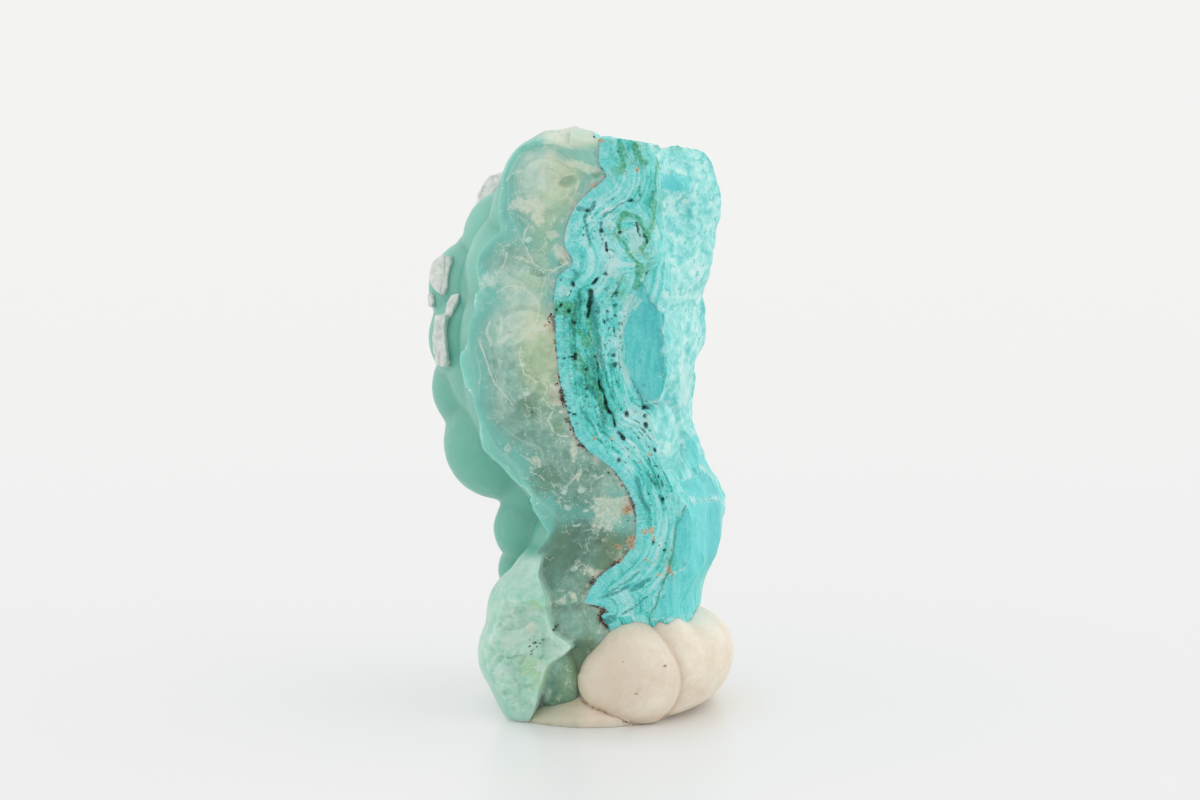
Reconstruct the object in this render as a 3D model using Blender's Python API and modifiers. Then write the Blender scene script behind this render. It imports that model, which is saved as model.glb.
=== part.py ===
"""A smithsonite specimen: a lobed blue-green crust on banded turquoise rock, standing in a lump of putty.

X runs to the right along the broken section, Y runs back from it, and Z is up. All sizes below are in
millimetres from the floor and from a line just right of the contact; the last step puts the origin under the
middle of the whole specimen.
"""

import math
import random

import bmesh
import bpy
import numpy as np
from mathutils import Matrix, Vector, noise
from mathutils.bvhtree import BVHTree

MM = 0.001

# Driving sizes of the whole specimen.
STONE_DEPTH = 33.0
PUTTY_GAP = 0.4
CONTACT_GAP = 0.3
CRYSTAL_GAP = 0.35

# How fine the solids are.
BLOCK_COLUMNS = 46
BLOCK_LEVELS = 38
BLANK_VOXEL = 0.75
BLANK_TRIANGLES = 4000
PUTTY_VOXEL = 0.9
PUTTY_TRIANGLES = 700
GROWN_VOXEL = 0.6
SOCKET_TOP = 16
SOCKET_TRIANGLES = 700
GROWN_CRUST_TRIANGLES = 9000
SHARP_ANGLE = math.radians(35)

# How far the sheets that break the stone to shape reach past it.
REACH_ACROSS = (-24, 24)
REACH_BACK = (-14, 48)
REACH_UP = (-4, 66)
FAR_BACK = 60
FAR_UP = 76
FAR_DOWN = -12

# The outline of the stone's inner block, as (z, x): its left side lies under the lobes, and its right side is
# the rough edge of the rock.
BLOCK_LEFT = [(0, -6), (6, -8), (11, -7), (16, -5.5), (22, -7), (27, -11), (34, -13.5), (42, -13.5),
              (48, -10.5), (53, -7), (58, -3.5), (62, -2.5)]
BLOCK_RIGHT = [(0, 7.5), (8.7, 10.4), (12.1, 10.9), (15.5, 12.6), (20, 12.9), (24.3, 11.4), (28, 9.8),
               (32.7, 9.6), (38, 10.8), (41.8, 10.4), (45, 11.8), (49.5, 12.2), (54.3, 12.8), (58, 12.4),
               (62, 11)]

# The block's outline in plan, as (share of its width, share of its depth), from the front left corner round
# by the right side.
BLOCK_PLAN = [(0.02, -0.12), (0.4, -0.15), (0.72, -0.12), (0.9, 0.1), (0.97, 0.25), (1.0, 0.42), (0.97, 0.64),
              (0.87, 0.84), (0.64, 0.97), (0.35, 1.0), (0.13, 0.93), (0.0, 0.74), (-0.03, 0.5), (0.0, 0.22)]

# The block is shallower at its foot and its top, and its front then starts further back.
BLOCK_FOOT_DEPTH = 0.62
BLOCK_TOP_DEPTH = 0.84
BLOCK_START = 1.5
BLOCK_TOP_START = 2.0

# The contact of crust and rock, as (z, x), where the front section and the back of the stone cut it.
CONTACT_FRONT = [(-6, 3), (8, 1.4), (9.6, 0.6), (11.9, -1.5), (13.4, -1.1), (15.1, -0.1), (16.7, 2.3),
                 (18.9, 3.5), (21.8, 3.4), (24.4, 2.3), (25.8, 1.2), (28, -1.6), (31.8, -3.3), (36, -4.2),
                 (40, -4.5), (43.9, -4.5), (45.2, -4.1), (46.3, -2.8), (48, -3.5), (50.5, -3.2), (52.4, -2.2),
                 (53.8, -0.8), (55, 0.6), (56.2, 0), (58.8, -0.1), (68, -0.1)]
CONTACT_BACK = [(-6, 2), (6, 0.5), (13, -2), (20, 0.5), (27, -2.5), (34, -5.5), (42, -3.5), (50, -4.5),
                (58, -1.5), (68, -1)]

# Between the front and the back the contact bows to the left and ripples.
CONTACT_BOW = 2.2
CONTACT_RIPPLE = 0.7
CONTACT_RIPPLE_LENGTH = 5.5

# Where the flat front of the section ends and the rough right side falls back, as (z, x).
FRONT_EDGE = [(-6, 8), (9, 8.4), (15, 9), (22, 9.4), (27, 8.6), (31, 7), (36, 6.6), (43, 6), (49, 5.6),
              (56, 4.6), (60, 3.6), (68, 3.6)]

# The right rim of the bulge that stands proud of the section at its foot, as (z, x). Above the bulge the line
# only carries on inside the crust.
LEDGE = [(-6, -7), (0, -7), (2.4, -5.2), (4.1, -5.0), (5.8, -4.0), (7.5, -2.5), (8.8, -4.0), (10.9, -5.0),
         (13, -5.3), (15.3, -6.1), (17.4, -5.6), (22, -6), (30, -9), (68, -9)]
BULGE_TOP = 17.5

# The relief of the broken front: the crust's part leans back to the left, the rock's rim stands proud beside
# the contact, the right side falls back, and chips have left scoops, as (x and z), (half width and height) and
# depth.
CRUST_LEAN = 1.6
CRUST_LEAN_WIDTH = 10
RIM_RAISE = 0.35
RIM_OFFSET = 1.2
RIM_WIDTH = 1.4
SIDE_FALL = 15.5
SIDE_CURVE = 1.25
SIDE_LEAST_WIDTH = 2
SCOOPS = [((4.2, 36.2), (2.6, 6.8), 1.4), ((7.2, 50.5), (2.2, 4.0), 1.6), ((-1.0, 20.5), (5.0, 4.0), 0.6)]
BULGE_STAND = 2.3
BULGE_WAVE = 0.9
BULGE_WAVE_TURN = 0.55
LEDGE_SOFTNESS = 0.45
SECTION_ROUGHNESS = 0.15
SECTION_SWELL = 0.18
SECTION_SWELL_LENGTH = 3.0

# The broken top of the rock: its height at the front, how it falls to the back and the right, and the crust's
# bump beside it, as (x, y), half width and depth, and height.
TOP_HEIGHT = 58.8
TOP_FALL = 0.09
TOP_FALL_CURVE = 0.0015
TOP_RIGHT_FALL = 1.1
TOP_MIDDLE_FALL = 0.4
TOP_BUMP = ((-2.2, 3), (1.7, 5), 1.9)
TOP_CLEAR_OF_LOBES = 5

# The broken back, which leans forward at the top and leaves the lobes on the left untouched.
BACK_PLAY = 0.6
BACK_LEAN = 3
BACK_CLEAR_OF_LOBES = 8
BACK_ROUGHNESS = 1.4

# The underside: the lift of the rock clear of the floor in two steps, and its rise to the back.
FOOT_HEIGHT = 0.15
FOOT_FIRST_LIFT = 5.8
FOOT_SECOND_LIFT = 4.2
FOOT_RISE = 0.17
FOOT_RISE_START = 6
FOOT_RELIEF = 1.2

# Lobes of the crust, as (x, y, z, radius). The break cuts the front ones open, and their round edge is the
# left outline of the section.
SECTION_LOBES = [(-4.9, 2.8, 54.2, 4.9), (-5.4, 4.5, 51.0, 5.6), (-6.9, 5.5, 45.3, 6.7),
                 (-6.4, 5.5, 38.6, 7.8), (-4.8, 5.5, 33.4, 8.8), (-0.6, 6.0, 27.6, 8.7),
                 (-0.5, 5.5, 16.2, 6.7)]
SUMMIT_LOBES = [(-2.2, 3.6, 57.8, 2.8), (-5.0, 9.5, 57.0, 2.1), (-3.6, 9.5, 54.6, 3.8),
                (-1.0, 9.0, 54.6, 3.0)]
SIDE_LOBES = [(-7.0, 10.0, 52.0, 3.7), (-9.2, 13.0, 48.3, 4.9), (-12.9, 14.0, 43.0, 4.9),
              (-12.7, 11.5, 38.0, 5.0), (-12.3, 14.5, 32.6, 5.2), (-10.4, 12.0, 27.0, 5.8),
              (-7.4, 10.5, 18.2, 3.6), (-7.2, 13.0, 13.6, 3.4), (-6.2, 10.5, 22.6, 4.0),
              (-10.2, 9.0, 34.5, 5.2), (-9.0, 9.0, 43.5, 5.2), (-7.5, 9.0, 29.5, 5.4)]
BULGE_LOBES = [(-6.6, 2.6, 10.8, 4.9), (-7.7, 2.2, 6.7, 4.7), (-7.3, 1.8, 3.8, 3.5), (-7.1, 1.9, 2.4, 3.2),
               (-4.6, 2.2, 13.6, 3.8), (-3.6, 3.6, 3.8, 3.8), (-4.6, 3.0, 8.2, 4.8), (-5.9, 3.2, 14.9, 2.6)]

# The rows of lobes that cover the hidden left and back of the crust. Their places are shares of the way round
# the block's outline.
BACK_LOBE_ROWS = 8
BACK_LOBE_TURNS = 5
BACK_LOBE_START = 0.865
BACK_LOBE_STEP = 0.047
BACK_LOBE_RADIUS = (3.2, 6.2)
BACK_LOBE_SINK = 1.5
BACK_LOBE_SINK_SHARE = 0.6
LOWEST_BACK_LOBE = 7.5
BACK_LOBE_ROW_HEIGHT = 6.3
BACK_LOBE_STAGGER = 1.6
BACK_LOBE_PLAY = 1.5
BACK_LOBE_TURN_PLAY = 0.012
BACK_SEED = 11

# Rough broken rock: the size of the shallow hollows that its chips have left, and their depth. Smaller
# hollows lie among them.
CHIP_SIZE = 7.0
CHIP_RELIEF = 1.4
CHIP_RIDGE = 1.2
SMALL_CHIP_SHARE = 0.35
SMALL_CHIP_RATIO = 2.3

# The white crystals: (pixel column, pixel row) of their middles in the photograph, width, height, thickness
# and the turn of the long side, in degrees.
WHITE_CRYSTALS = [(490, 191, 2.4, 3.2, 1.1, -28), (440, 276, 2.3, 3.8, 1.1, 0),
                  (453, 306, 1.3, 2.3, 0.9, -24), (443, 341, 2.2, 5.0, 1.1, 8), (434, 301, 1.2, 1.8, 0.9, 6)]
CRYSTAL_SIDES = 6
CRYSTAL_BASE = 0.56
CRYSTAL_TOP = 0.5
CRYSTAL_SKEW = 0.2
CRYSTAL_BEVEL = 0.2

# The camera of the photograph, which says what its pixels point at.
VIEW_DISTANCE = 333.33
VIEW_HEIGHT = 32.7
VIEW_ELEVATION = math.radians(6)
PHOTO_WIDTH = 1200
PHOTO_MIDDLE = (600, 400)
FILM_WIDTH = 36
LENS = 100
VIEW_SLOPE_PER_PIXEL = FILM_WIDTH / LENS / PHOTO_WIDTH

# Putty, as (x, y, z, half width, half depth, half height) of the soft lumps that were pressed together.
PUTTY_LUMPS = [(3.2, 2.6, 5.2, 5.7, 5.4, 5.5), (8.6, 12.0, 5.2, 5.6, 11.0, 5.6),
               (-1.4, 4.6, 0.8, 7.4, 6.0, 1.9), (3.0, 16.0, 3.0, 9.8, 12.5, 5.0),
               (-1.8, 17.0, 3.6, 7.4, 9.5, 5.2)]

# The putty's flat foot, as (x, y, half width, half depth) of the ovals on which it stands.
PUTTY_FOOT = [(2.2, 5.0, 7.8, 6.2), (5.6, 14.5, 6.8, 12.0), (-0.6, 17.0, 7.6, 9.0)]
PUTTY_FOOT_HEIGHT = 1.0
PUTTY_FOOT_BELOW = 0.8
PUTTY_FOOT_TAPER = 0.93

# The pieces' colours and roughnesses.
CRUST_LOOK = ((0.25, 0.60, 0.48), 0.35)
ROCK_LOOK = ((0.16, 0.62, 0.62), 0.7)
PUTTY_LOOK = ((0.78, 0.70, 0.58), 0.65)
WHITE_LOOK = ((0.80, 0.82, 0.78), 0.5)


def smooth_line(points, at):
    """Reads a smooth curve through (position, value) points."""
    xs = np.array([p[0] for p in points], float)
    ys = np.array([p[1] for p in points], float)
    slopes = np.gradient(ys, xs)
    at = np.clip(at, xs[0], xs[-1])
    i = np.clip(np.searchsorted(xs, at) - 1, 0, len(xs) - 2)
    width = xs[i + 1] - xs[i]
    t = (at - xs[i]) / width
    return ((2 * t**3 - 3 * t**2 + 1) * ys[i] + (t**3 - 2 * t**2 + t) * width * slopes[i]
            + (3 * t**2 - 2 * t**3) * ys[i + 1] + (t**3 - t**2) * width * slopes[i + 1])


def step(edge0, edge1, value):
    """A soft step from 0 at the first edge to 1 at the second."""
    t = np.clip((value - edge0) / (edge1 - edge0), 0, 1)
    return t * t * (3 - 2 * t)


def contact_x(y, z):
    """Where crust meets rock, at a place behind the section."""
    behind = float(step(2, STONE_DEPTH, y))
    bow = -CONTACT_BOW * math.sin(math.pi * min(max(y / STONE_DEPTH, 0), 1))
    place = Vector((3.1, y / CONTACT_RIPPLE_LENGTH, z / CONTACT_RIPPLE_LENGTH))
    ripple = CONTACT_RIPPLE * noise.noise(place) * float(step(1, 7, y))
    front = float(smooth_line(CONTACT_FRONT, z))
    back = float(smooth_line(CONTACT_BACK, z))
    return front * (1 - behind) + back * behind + bow + ripple


def chip(point, size):
    """Shallow hollows that meet in sharp ridges, as broken rock has: 0 at the deepest, about 1 on a ridge."""
    large, _ = noise.voronoi(point / size)
    small, _ = noise.voronoi(point / size * SMALL_CHIP_RATIO + Vector((5, 5, 5)))
    return min(CHIP_RIDGE, large[0] ** 2 * 1.6) + SMALL_CHIP_SHARE * min(CHIP_RIDGE, small[0] ** 2 * 1.6)


def scoop(x, z, middle, half, depth):
    """A shallow shell-shaped hollow where a chip has come out of the section."""
    distance = ((x - middle[0]) / half[0]) ** 2 + ((z - middle[1]) / half[1]) ** 2
    return depth * max(0, 1 - distance)


def front_edge_x(z):
    """The jagged upright edge where the section turns into the stone's right side."""
    return float(smooth_line(FRONT_EDGE, z)) + 0.9 * noise.noise(Vector((0, 8, z / 3.5)))


def section_y(x, z):
    """The broken front: the section, the bulge at its foot and the side that falls back on the right."""
    contact = float(smooth_line(CONTACT_FRONT, z))
    edge = front_edge_x(z)
    right = float(smooth_line(BLOCK_RIGHT, z))
    y = CRUST_LEAN * float(step(0, CRUST_LEAN_WIDTH, contact - x))
    y -= RIM_RAISE * math.exp(-((x - contact - RIM_OFFSET) / RIM_WIDTH) ** 2)
    beyond = max(0, x - edge) / max(right - edge, SIDE_LEAST_WIDTH)
    y += SIDE_FALL * beyond**SIDE_CURVE
    for middle, half, depth in SCOOPS:
        y += scoop(x, z, middle, half, depth)
    left_of_ledge = float(step(-LEDGE_SOFTNESS, LEDGE_SOFTNESS, smooth_line(LEDGE, z) - x))
    bulge = left_of_ledge * float(step(BULGE_TOP, BULGE_TOP - 1.5, z))
    y -= bulge * (BULGE_STAND + BULGE_WAVE * math.sin(z * BULGE_WAVE_TURN) * float(step(-12, -6, x)))
    place = Vector((x, 0, z))
    rough = SECTION_ROUGHNESS + CHIP_RELIEF * float(step(0, 0.5, beyond))
    y += rough * (0.6 - chip(place, CHIP_SIZE))
    return y + SECTION_SWELL * noise.noise(place / SECTION_SWELL_LENGTH)


def section_columns(z):
    """Where the upright lines of the broken front's grid run, along the ledge, the contact and the edge."""
    ledge = float(smooth_line(LEDGE, z))
    contact = float(smooth_line(CONTACT_FRONT, z))
    edge = front_edge_x(z)
    right = float(smooth_line(BLOCK_RIGHT, z))
    # Each stop is a place and the number of grid columns from it to the next.
    stops = [(REACH_ACROSS[0], 1), (-17, 7), (ledge - 0.5, 1), (ledge + 0.5, 5), (contact - 0.4, 1),
             (contact + 0.4, 5), (edge - 0.3, 1), (edge + 0.3, 6), (max(right, edge + 3) + 0.5, 2),
             (REACH_ACROSS[1], 0)]
    columns = []
    for (start, count), (end, _) in zip(stops, stops[1:]):
        columns += [start + (end - start) * i / count for i in range(count)]
    return columns + [stops[-1][0]]


def summit_z(x, y):
    """The broken top of the rock, falling away to the back and the right, and the crust's bump beside it."""
    top = TOP_HEIGHT - TOP_FALL * y - TOP_FALL_CURVE * y * y
    top -= TOP_MIDDLE_FALL * float(step(1, 5, x))
    top -= TOP_RIGHT_FALL * float(step(9.5, 13.5, x))
    (middle_x, middle_y), (half_x, half_y), height = TOP_BUMP
    bump = height * math.exp(-(((x - middle_x) / half_x) ** 2) - ((y - middle_y) / half_y) ** 2)
    over_lobes = TOP_CLEAR_OF_LOBES * float(step(-4, -5.5, x))
    rough = CHIP_RELIEF * (chip(Vector((x, y, 70)), CHIP_SIZE) - 0.7) * float(step(0, 6, y))
    return top + bump + over_lobes + rough


def back_y(x, z):
    """The broken back of the rock and of the crust beside it. Further left the lobes roll round untouched."""
    lobes = float(step(-7, -11, x))
    upper = float(step(38, 62, z))
    rough = CHIP_RELIEF * (chip(Vector((x, 90, z)), CHIP_SIZE) - 0.7)
    return STONE_DEPTH + BACK_PLAY - BACK_LEAN * upper + BACK_CLEAR_OF_LOBES * lobes + BACK_ROUGHNESS * rough


def foot_z(x, y):
    """The underside: the crust's foot at the front left reaches the floor, and the rest is lifted clear."""
    lift = FOOT_FIRST_LIFT * float(step(-3.2, 1.2, x)) + FOOT_SECOND_LIFT * float(step(4, 9, x))
    lift += FOOT_RISE * max(0, y - FOOT_RISE_START)
    rough = FOOT_RELIEF * float(step(-6, 2, x)) * (0.7 - chip(Vector((x, y, 5)), CHIP_SIZE))
    return FOOT_HEIGHT + lift + rough


def new_object(name, vertices, faces, collection):
    """A mesh object from millimetre points."""
    mesh = bpy.data.meshes.new(name)
    mesh.from_pydata([Vector(v) * MM for v in vertices], [], faces)
    thing = bpy.data.objects.new(name, mesh)
    collection.objects.link(thing)
    return thing


def closed_sheet(name, place, first, second, far, collection):
    """A thick slab from a curved sheet, given by a function of two grid places, back to a far flat side."""
    rows, columns = len(first), len(second)
    vertices = [place(a, b) for a in first for b in second]
    vertices += [far(a, b) for a in first for b in second]
    behind = rows * columns
    faces = []
    for i in range(rows - 1):
        for j in range(columns - 1):
            corner = i * columns + j
            face = [corner, corner + 1, corner + columns + 1, corner + columns]
            faces += [face, [behind + k for k in reversed(face)]]
    rim = [j for j in range(columns)] + [i * columns + columns - 1 for i in range(1, rows)]
    rim += [(rows - 1) * columns + j for j in range(columns - 2, -1, -1)]
    rim += [i * columns for i in range(rows - 2, 0, -1)]
    faces += [[a, behind + a, behind + b, b] for a, b in zip(rim, rim[1:] + rim[:1])]
    slab = new_object(name, vertices, faces, collection)
    outward(slab)
    slab.hide_render = True
    slab.display_type = "WIRE"
    return slab


def outward(thing):
    """Turns a closed mesh's faces outwards."""
    shape = bmesh.new()
    shape.from_mesh(thing.data)
    bmesh.ops.recalc_face_normals(shape, faces=shape.faces)
    if shape.calc_volume(signed=True) < 0:
        bmesh.ops.reverse_faces(shape, faces=shape.faces)
    shape.to_mesh(thing.data)
    shape.free()


def settle(thing):
    """Keeps what an object's modifiers make of it, as its mesh."""
    made = bpy.data.meshes.new_from_object(thing.evaluated_get(bpy.context.evaluated_depsgraph_get()))
    thing.modifiers.clear()
    old, thing.data = thing.data, made
    bpy.data.meshes.remove(old)


def remesh(thing, voxel, triangles):
    """Makes joined shapes one skin, and keeps about this many of its triangles."""
    skin = thing.modifiers.new("skin", "REMESH")
    skin.mode = "VOXEL"
    skin.voxel_size = voxel * MM
    settle(thing)
    thing.data.calc_loop_triangles()
    fewer = thing.modifiers.new("fewer", "DECIMATE")
    fewer.ratio = min(1, triangles / len(thing.data.loop_triangles))
    settle(thing)


def cut(thing, cutter):
    """Takes the cutter's space out of a solid."""
    bite = thing.modifiers.new("cut", "BOOLEAN")
    bite.operation = "DIFFERENCE"
    bite.solver = "EXACT"
    bite.object = cutter
    settle(thing)


def largest_piece(thing):
    """Drops crumbs that a cut has left beside the main body."""
    shape = bmesh.new()
    shape.from_mesh(thing.data)
    left = set(shape.verts)
    bodies = []
    while left:
        body, edge = set(), [left.pop()]
        while edge:
            vertex = edge.pop()
            body.add(vertex)
            for link in vertex.link_edges:
                other = link.other_vert(vertex)
                if other in left:
                    left.discard(other)
                    edge.append(other)
        bodies.append(body)
    bodies.sort(key=len)
    crumbs = [v for body in bodies[:-1] for v in body]
    bmesh.ops.delete(shape, geom=crumbs, context="VERTS")
    shape.to_mesh(thing.data)
    shape.free()


def block_ring(z, columns):
    """One level outline of the stone's inner block."""
    left = float(smooth_line(BLOCK_LEFT, z))
    right = float(smooth_line(BLOCK_RIGHT, z))
    low, high = step(2, 14, z), step(58, 44, z)
    depth = STONE_DEPTH * float(BLOCK_FOOT_DEPTH + (1 - BLOCK_FOOT_DEPTH) * low)
    depth *= float(BLOCK_TOP_DEPTH + (1 - BLOCK_TOP_DEPTH) * high)
    start = BLOCK_START + BLOCK_TOP_START * float(1 - high)
    plan = BLOCK_PLAN + BLOCK_PLAN[:1]
    turns = np.arange(len(plan), dtype=float)
    at = np.linspace(0, len(plan) - 1, columns, endpoint=False)
    across = smooth_line(list(zip(turns, [p[0] for p in plan])), at)
    back = smooth_line(list(zip(turns, [p[1] for p in plan])), at)
    return [Vector((left + (right - left) * s, start + depth * t, z)) for s, t in zip(across, back)]


def stone_block(collection):
    """The inner block: level outlines joined from the floor to above the top, with chipped sides."""
    columns = BLOCK_COLUMNS
    levels = np.linspace(-1, 61, BLOCK_LEVELS)
    vertices = []
    for z in levels:
        for point in block_ring(float(z), columns):
            middle = Vector((0, STONE_DEPTH / 2, point.z))
            out = (point - middle).normalized()
            vertices.append(point + out * CHIP_RELIEF * (chip(point, CHIP_SIZE) - 0.6))
    faces = []
    for i in range(len(levels) - 1):
        for j in range(columns):
            k = (j + 1) % columns
            row = i * columns
            faces.append([row + j, row + k, row + columns + k, row + columns + j])
    faces.append([columns - 1 - j for j in range(columns)])
    faces.append([(len(levels) - 1) * columns + j for j in range(columns)])
    block = new_object("stone_block", vertices, faces, collection)
    outward(block)
    return block


def back_lobes():
    """Lobes over the hidden left and back of the crust, in rows that step round the block."""
    dice = random.Random(BACK_SEED)
    lobes = []
    for row in range(BACK_LOBE_ROWS):
        for turn in range(BACK_LOBE_TURNS):
            z = LOWEST_BACK_LOBE + row * BACK_LOBE_ROW_HEIGHT + BACK_LOBE_STAGGER * (turn % 2)
            z += dice.uniform(-BACK_LOBE_PLAY, BACK_LOBE_PLAY)
            ring = block_ring(z, 200)
            share = BACK_LOBE_START - BACK_LOBE_STEP * (turn + 0.5 * (row % 2))
            share += dice.uniform(-BACK_LOBE_TURN_PLAY, BACK_LOBE_TURN_PLAY)
            place = ring[int(share * len(ring))]
            inward = (Vector((0, STONE_DEPTH / 2, z)) - place).normalized()
            radius = dice.uniform(*BACK_LOBE_RADIUS)
            middle = place + inward * (BACK_LOBE_SINK + BACK_LOBE_SINK_SHARE * (radius - BACK_LOBE_RADIUS[0]))
            lobes.append((*middle, radius))
    return lobes


def add_lobes(thing, lobes):
    """Adds balls to a mesh, before a skin joins them."""
    shape = bmesh.new()
    shape.from_mesh(thing.data)
    for x, y, z, radius in lobes:
        place = Matrix.Translation(Vector((x, y, z)) * MM)
        bmesh.ops.create_icosphere(shape, subdivisions=4, radius=radius * MM, matrix=place)
    shape.to_mesh(thing.data)
    shape.free()


def stone_blank(cutters):
    """The whole stone, crust and rock in one, broken to shape at the front, the top and the foot."""
    blank = stone_block(cutters)
    add_lobes(blank, SECTION_LOBES + SUMMIT_LOBES + SIDE_LOBES + BULGE_LOBES + back_lobes())
    remesh(blank, BLANK_VOXEL, BLANK_TRIANGLES)
    up = [float(z) for z in np.linspace(*REACH_UP, 54)]
    lines = {z: section_columns(z) for z in up}
    front = closed_sheet("front_break", lambda i, z: (lines[z][i], section_y(lines[z][i], z), z),
                         range(len(lines[up[0]])), up, lambda i, z: (lines[z][i], REACH_BACK[0], z), cutters)
    across, deep = np.linspace(*REACH_ACROSS, 20), np.linspace(*REACH_BACK, 26)
    back = closed_sheet("back_break", lambda x, z: (x, back_y(x, z), z), across, up[::2],
                        lambda x, z: (x, FAR_BACK, z), cutters)
    top = closed_sheet("top_break", lambda x, y: (x, y, summit_z(x, y)), across, deep,
                       lambda x, y: (x, y, FAR_UP), cutters)
    foot = closed_sheet("foot_break", lambda x, y: (x, y, foot_z(x, y)), across, deep,
                        lambda x, y: (x, y, FAR_DOWN), cutters)
    for cutter in (front, back, top, foot):
        cut(blank, cutter)
    largest_piece(blank)
    return blank


def contact_cutter(name, side, cutters):
    """All the space on one side of the contact, held off it by half of the gap: side is -1 for the left."""
    up, deep = np.linspace(-5, 67, 50), np.linspace(-6, 44, 13)
    reach = 0.1

    def sheet(z, y):
        here = contact_x(y, z)
        along_y = Vector((contact_x(y + reach, z) - here, reach, 0))
        along_z = Vector((contact_x(y, z + reach) - here, 0, reach))
        normal = along_y.cross(along_z).normalized()
        if normal.x < 0:
            normal = -normal
        return Vector((here, y, z)) - normal * side * CONTACT_GAP / 2

    return closed_sheet(name, sheet, up, deep, lambda z, y: (side * 40, y, z), cutters)


def copy_of(thing, name, collection):
    """A copy with a mesh of its own."""
    twin = bpy.data.objects.new(name, thing.data.copy())
    collection.objects.link(twin)
    return twin


def grown_copy(thing, name, gap, below, triangles, cutters):
    """A cutter that is the stone, held off it by a gap, up to a height."""
    grown = copy_of(thing, name, cutters)
    grown.hide_render = True
    grown.display_type = "WIRE"
    if below:
        sheet = np.linspace(-30, 50, 3)
        lid = closed_sheet(name + "_lid", lambda x, y: (x, y, below), sheet, sheet,
                           lambda x, y: (x, y, 90), cutters)
        cut(grown, lid)
    skin = grown.modifiers.new("skin", "REMESH")
    skin.mode = "VOXEL"
    skin.voxel_size = GROWN_VOXEL * MM
    settle(grown)
    swell = grown.modifiers.new("swell", "DISPLACE")
    swell.strength = gap * MM
    swell.mid_level = 0
    settle(grown)
    grown.data.calc_loop_triangles()
    fewer = grown.modifiers.new("fewer", "DECIMATE")
    fewer.ratio = triangles / len(grown.data.loop_triangles)
    settle(grown)
    return grown


def photo_ray(column, row):
    """The camera's place and the way that a pixel of the photograph points, in millimetres."""
    up = Vector((0, math.sin(VIEW_ELEVATION), math.cos(VIEW_ELEVATION)))
    ahead = Vector((0, math.cos(VIEW_ELEVATION), -math.sin(VIEW_ELEVATION)))
    eye = Vector((0, 0, VIEW_HEIGHT)) - ahead * VIEW_DISTANCE
    across = (column - PHOTO_MIDDLE[0]) * VIEW_SLOPE_PER_PIXEL
    rise = (PHOTO_MIDDLE[1] - row) * VIEW_SLOPE_PER_PIXEL
    return eye, (ahead + Vector((1, 0, 0)) * across + up * rise).normalized()


def white_crystal(name, crust, grown_crust, size, collection):
    """A flat crystal with bevelled edges, lying on the lobe that a pixel of the photograph points at."""
    column, row, width, height, thickness, turn = size
    tree = BVHTree.FromObject(crust, bpy.context.evaluated_depsgraph_get())
    eye, ahead = photo_ray(column, row)
    hit, normal, _, _ = tree.ray_cast(eye * MM, ahead)
    if hit is None:
        hit, normal, _, _ = tree.find_nearest((eye + ahead * (VIEW_DISTANCE + 10)) * MM)
    sideways = Vector((0, 0, 1)).cross(normal).normalized()
    upright = normal.cross(sideways)
    shape = bmesh.new()
    bmesh.ops.create_cone(shape, cap_ends=True, segments=CRYSTAL_SIDES, radius1=CRYSTAL_BASE,
                          radius2=CRYSTAL_TOP, depth=1)
    for vertex in shape.verts:
        lean = CRYSTAL_SKEW * vertex.co.y * vertex.co.x
        x, y = (vertex.co.x + lean) * width, vertex.co.y * height
        angle = math.radians(turn)
        flat = (x * math.cos(angle) - y * math.sin(angle), x * math.sin(angle) + y * math.cos(angle))
        lift = vertex.co.z * thickness + 0.1
        vertex.co = hit + (sideways * flat[0] + upright * flat[1] + normal * lift) * MM
    bmesh.ops.recalc_face_normals(shape, faces=shape.faces)
    mesh = bpy.data.meshes.new(name)
    shape.to_mesh(mesh)
    shape.free()
    crystal = bpy.data.objects.new(name, mesh)
    collection.objects.link(crystal)
    edges = crystal.modifiers.new("edges", "BEVEL")
    edges.width = CRYSTAL_BEVEL * MM
    edges.segments = 1
    settle(crystal)
    cut(crystal, grown_crust)
    largest_piece(crystal)
    return crystal


def putty_lump(stone, collection, cutters):
    """Pressed putty: soft lumps and a flat foot joined in one skin, with the stone's socket in the top."""
    shape = bmesh.new()
    for x, y, z, wide, deep, tall in PUTTY_LUMPS:
        place = Matrix.Translation(Vector((x, y, z)) * MM) @ Matrix.Diagonal((wide, deep, tall, 1))
        bmesh.ops.create_uvsphere(shape, u_segments=40, v_segments=24, radius=MM, matrix=place)
    for x, y, wide, deep in PUTTY_FOOT:
        place = Matrix.Translation(Vector((x, y, PUTTY_FOOT_HEIGHT / 2)) * MM)
        place = place @ Matrix.Diagonal((wide, deep, PUTTY_FOOT_HEIGHT + PUTTY_FOOT_BELOW, 1))
        bmesh.ops.create_cone(shape, cap_ends=True, segments=48, radius1=MM, radius2=PUTTY_FOOT_TAPER * MM,
                              depth=MM, matrix=place)
    mesh = bpy.data.meshes.new("putty_lump")
    shape.to_mesh(mesh)
    shape.free()
    putty = bpy.data.objects.new("putty_lump", mesh)
    collection.objects.link(putty)
    remesh(putty, PUTTY_VOXEL, PUTTY_TRIANGLES)
    sheet = np.linspace(-30, 50, 3)
    floor = closed_sheet("floor", lambda x, y: (x, y, 0), sheet, sheet, lambda x, y: (x, y, -20), cutters)
    cut(putty, floor)
    cut(putty, grown_copy(stone, "socket", PUTTY_GAP, SOCKET_TOP, SOCKET_TRIANGLES, cutters))
    largest_piece(putty)
    return putty


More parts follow.
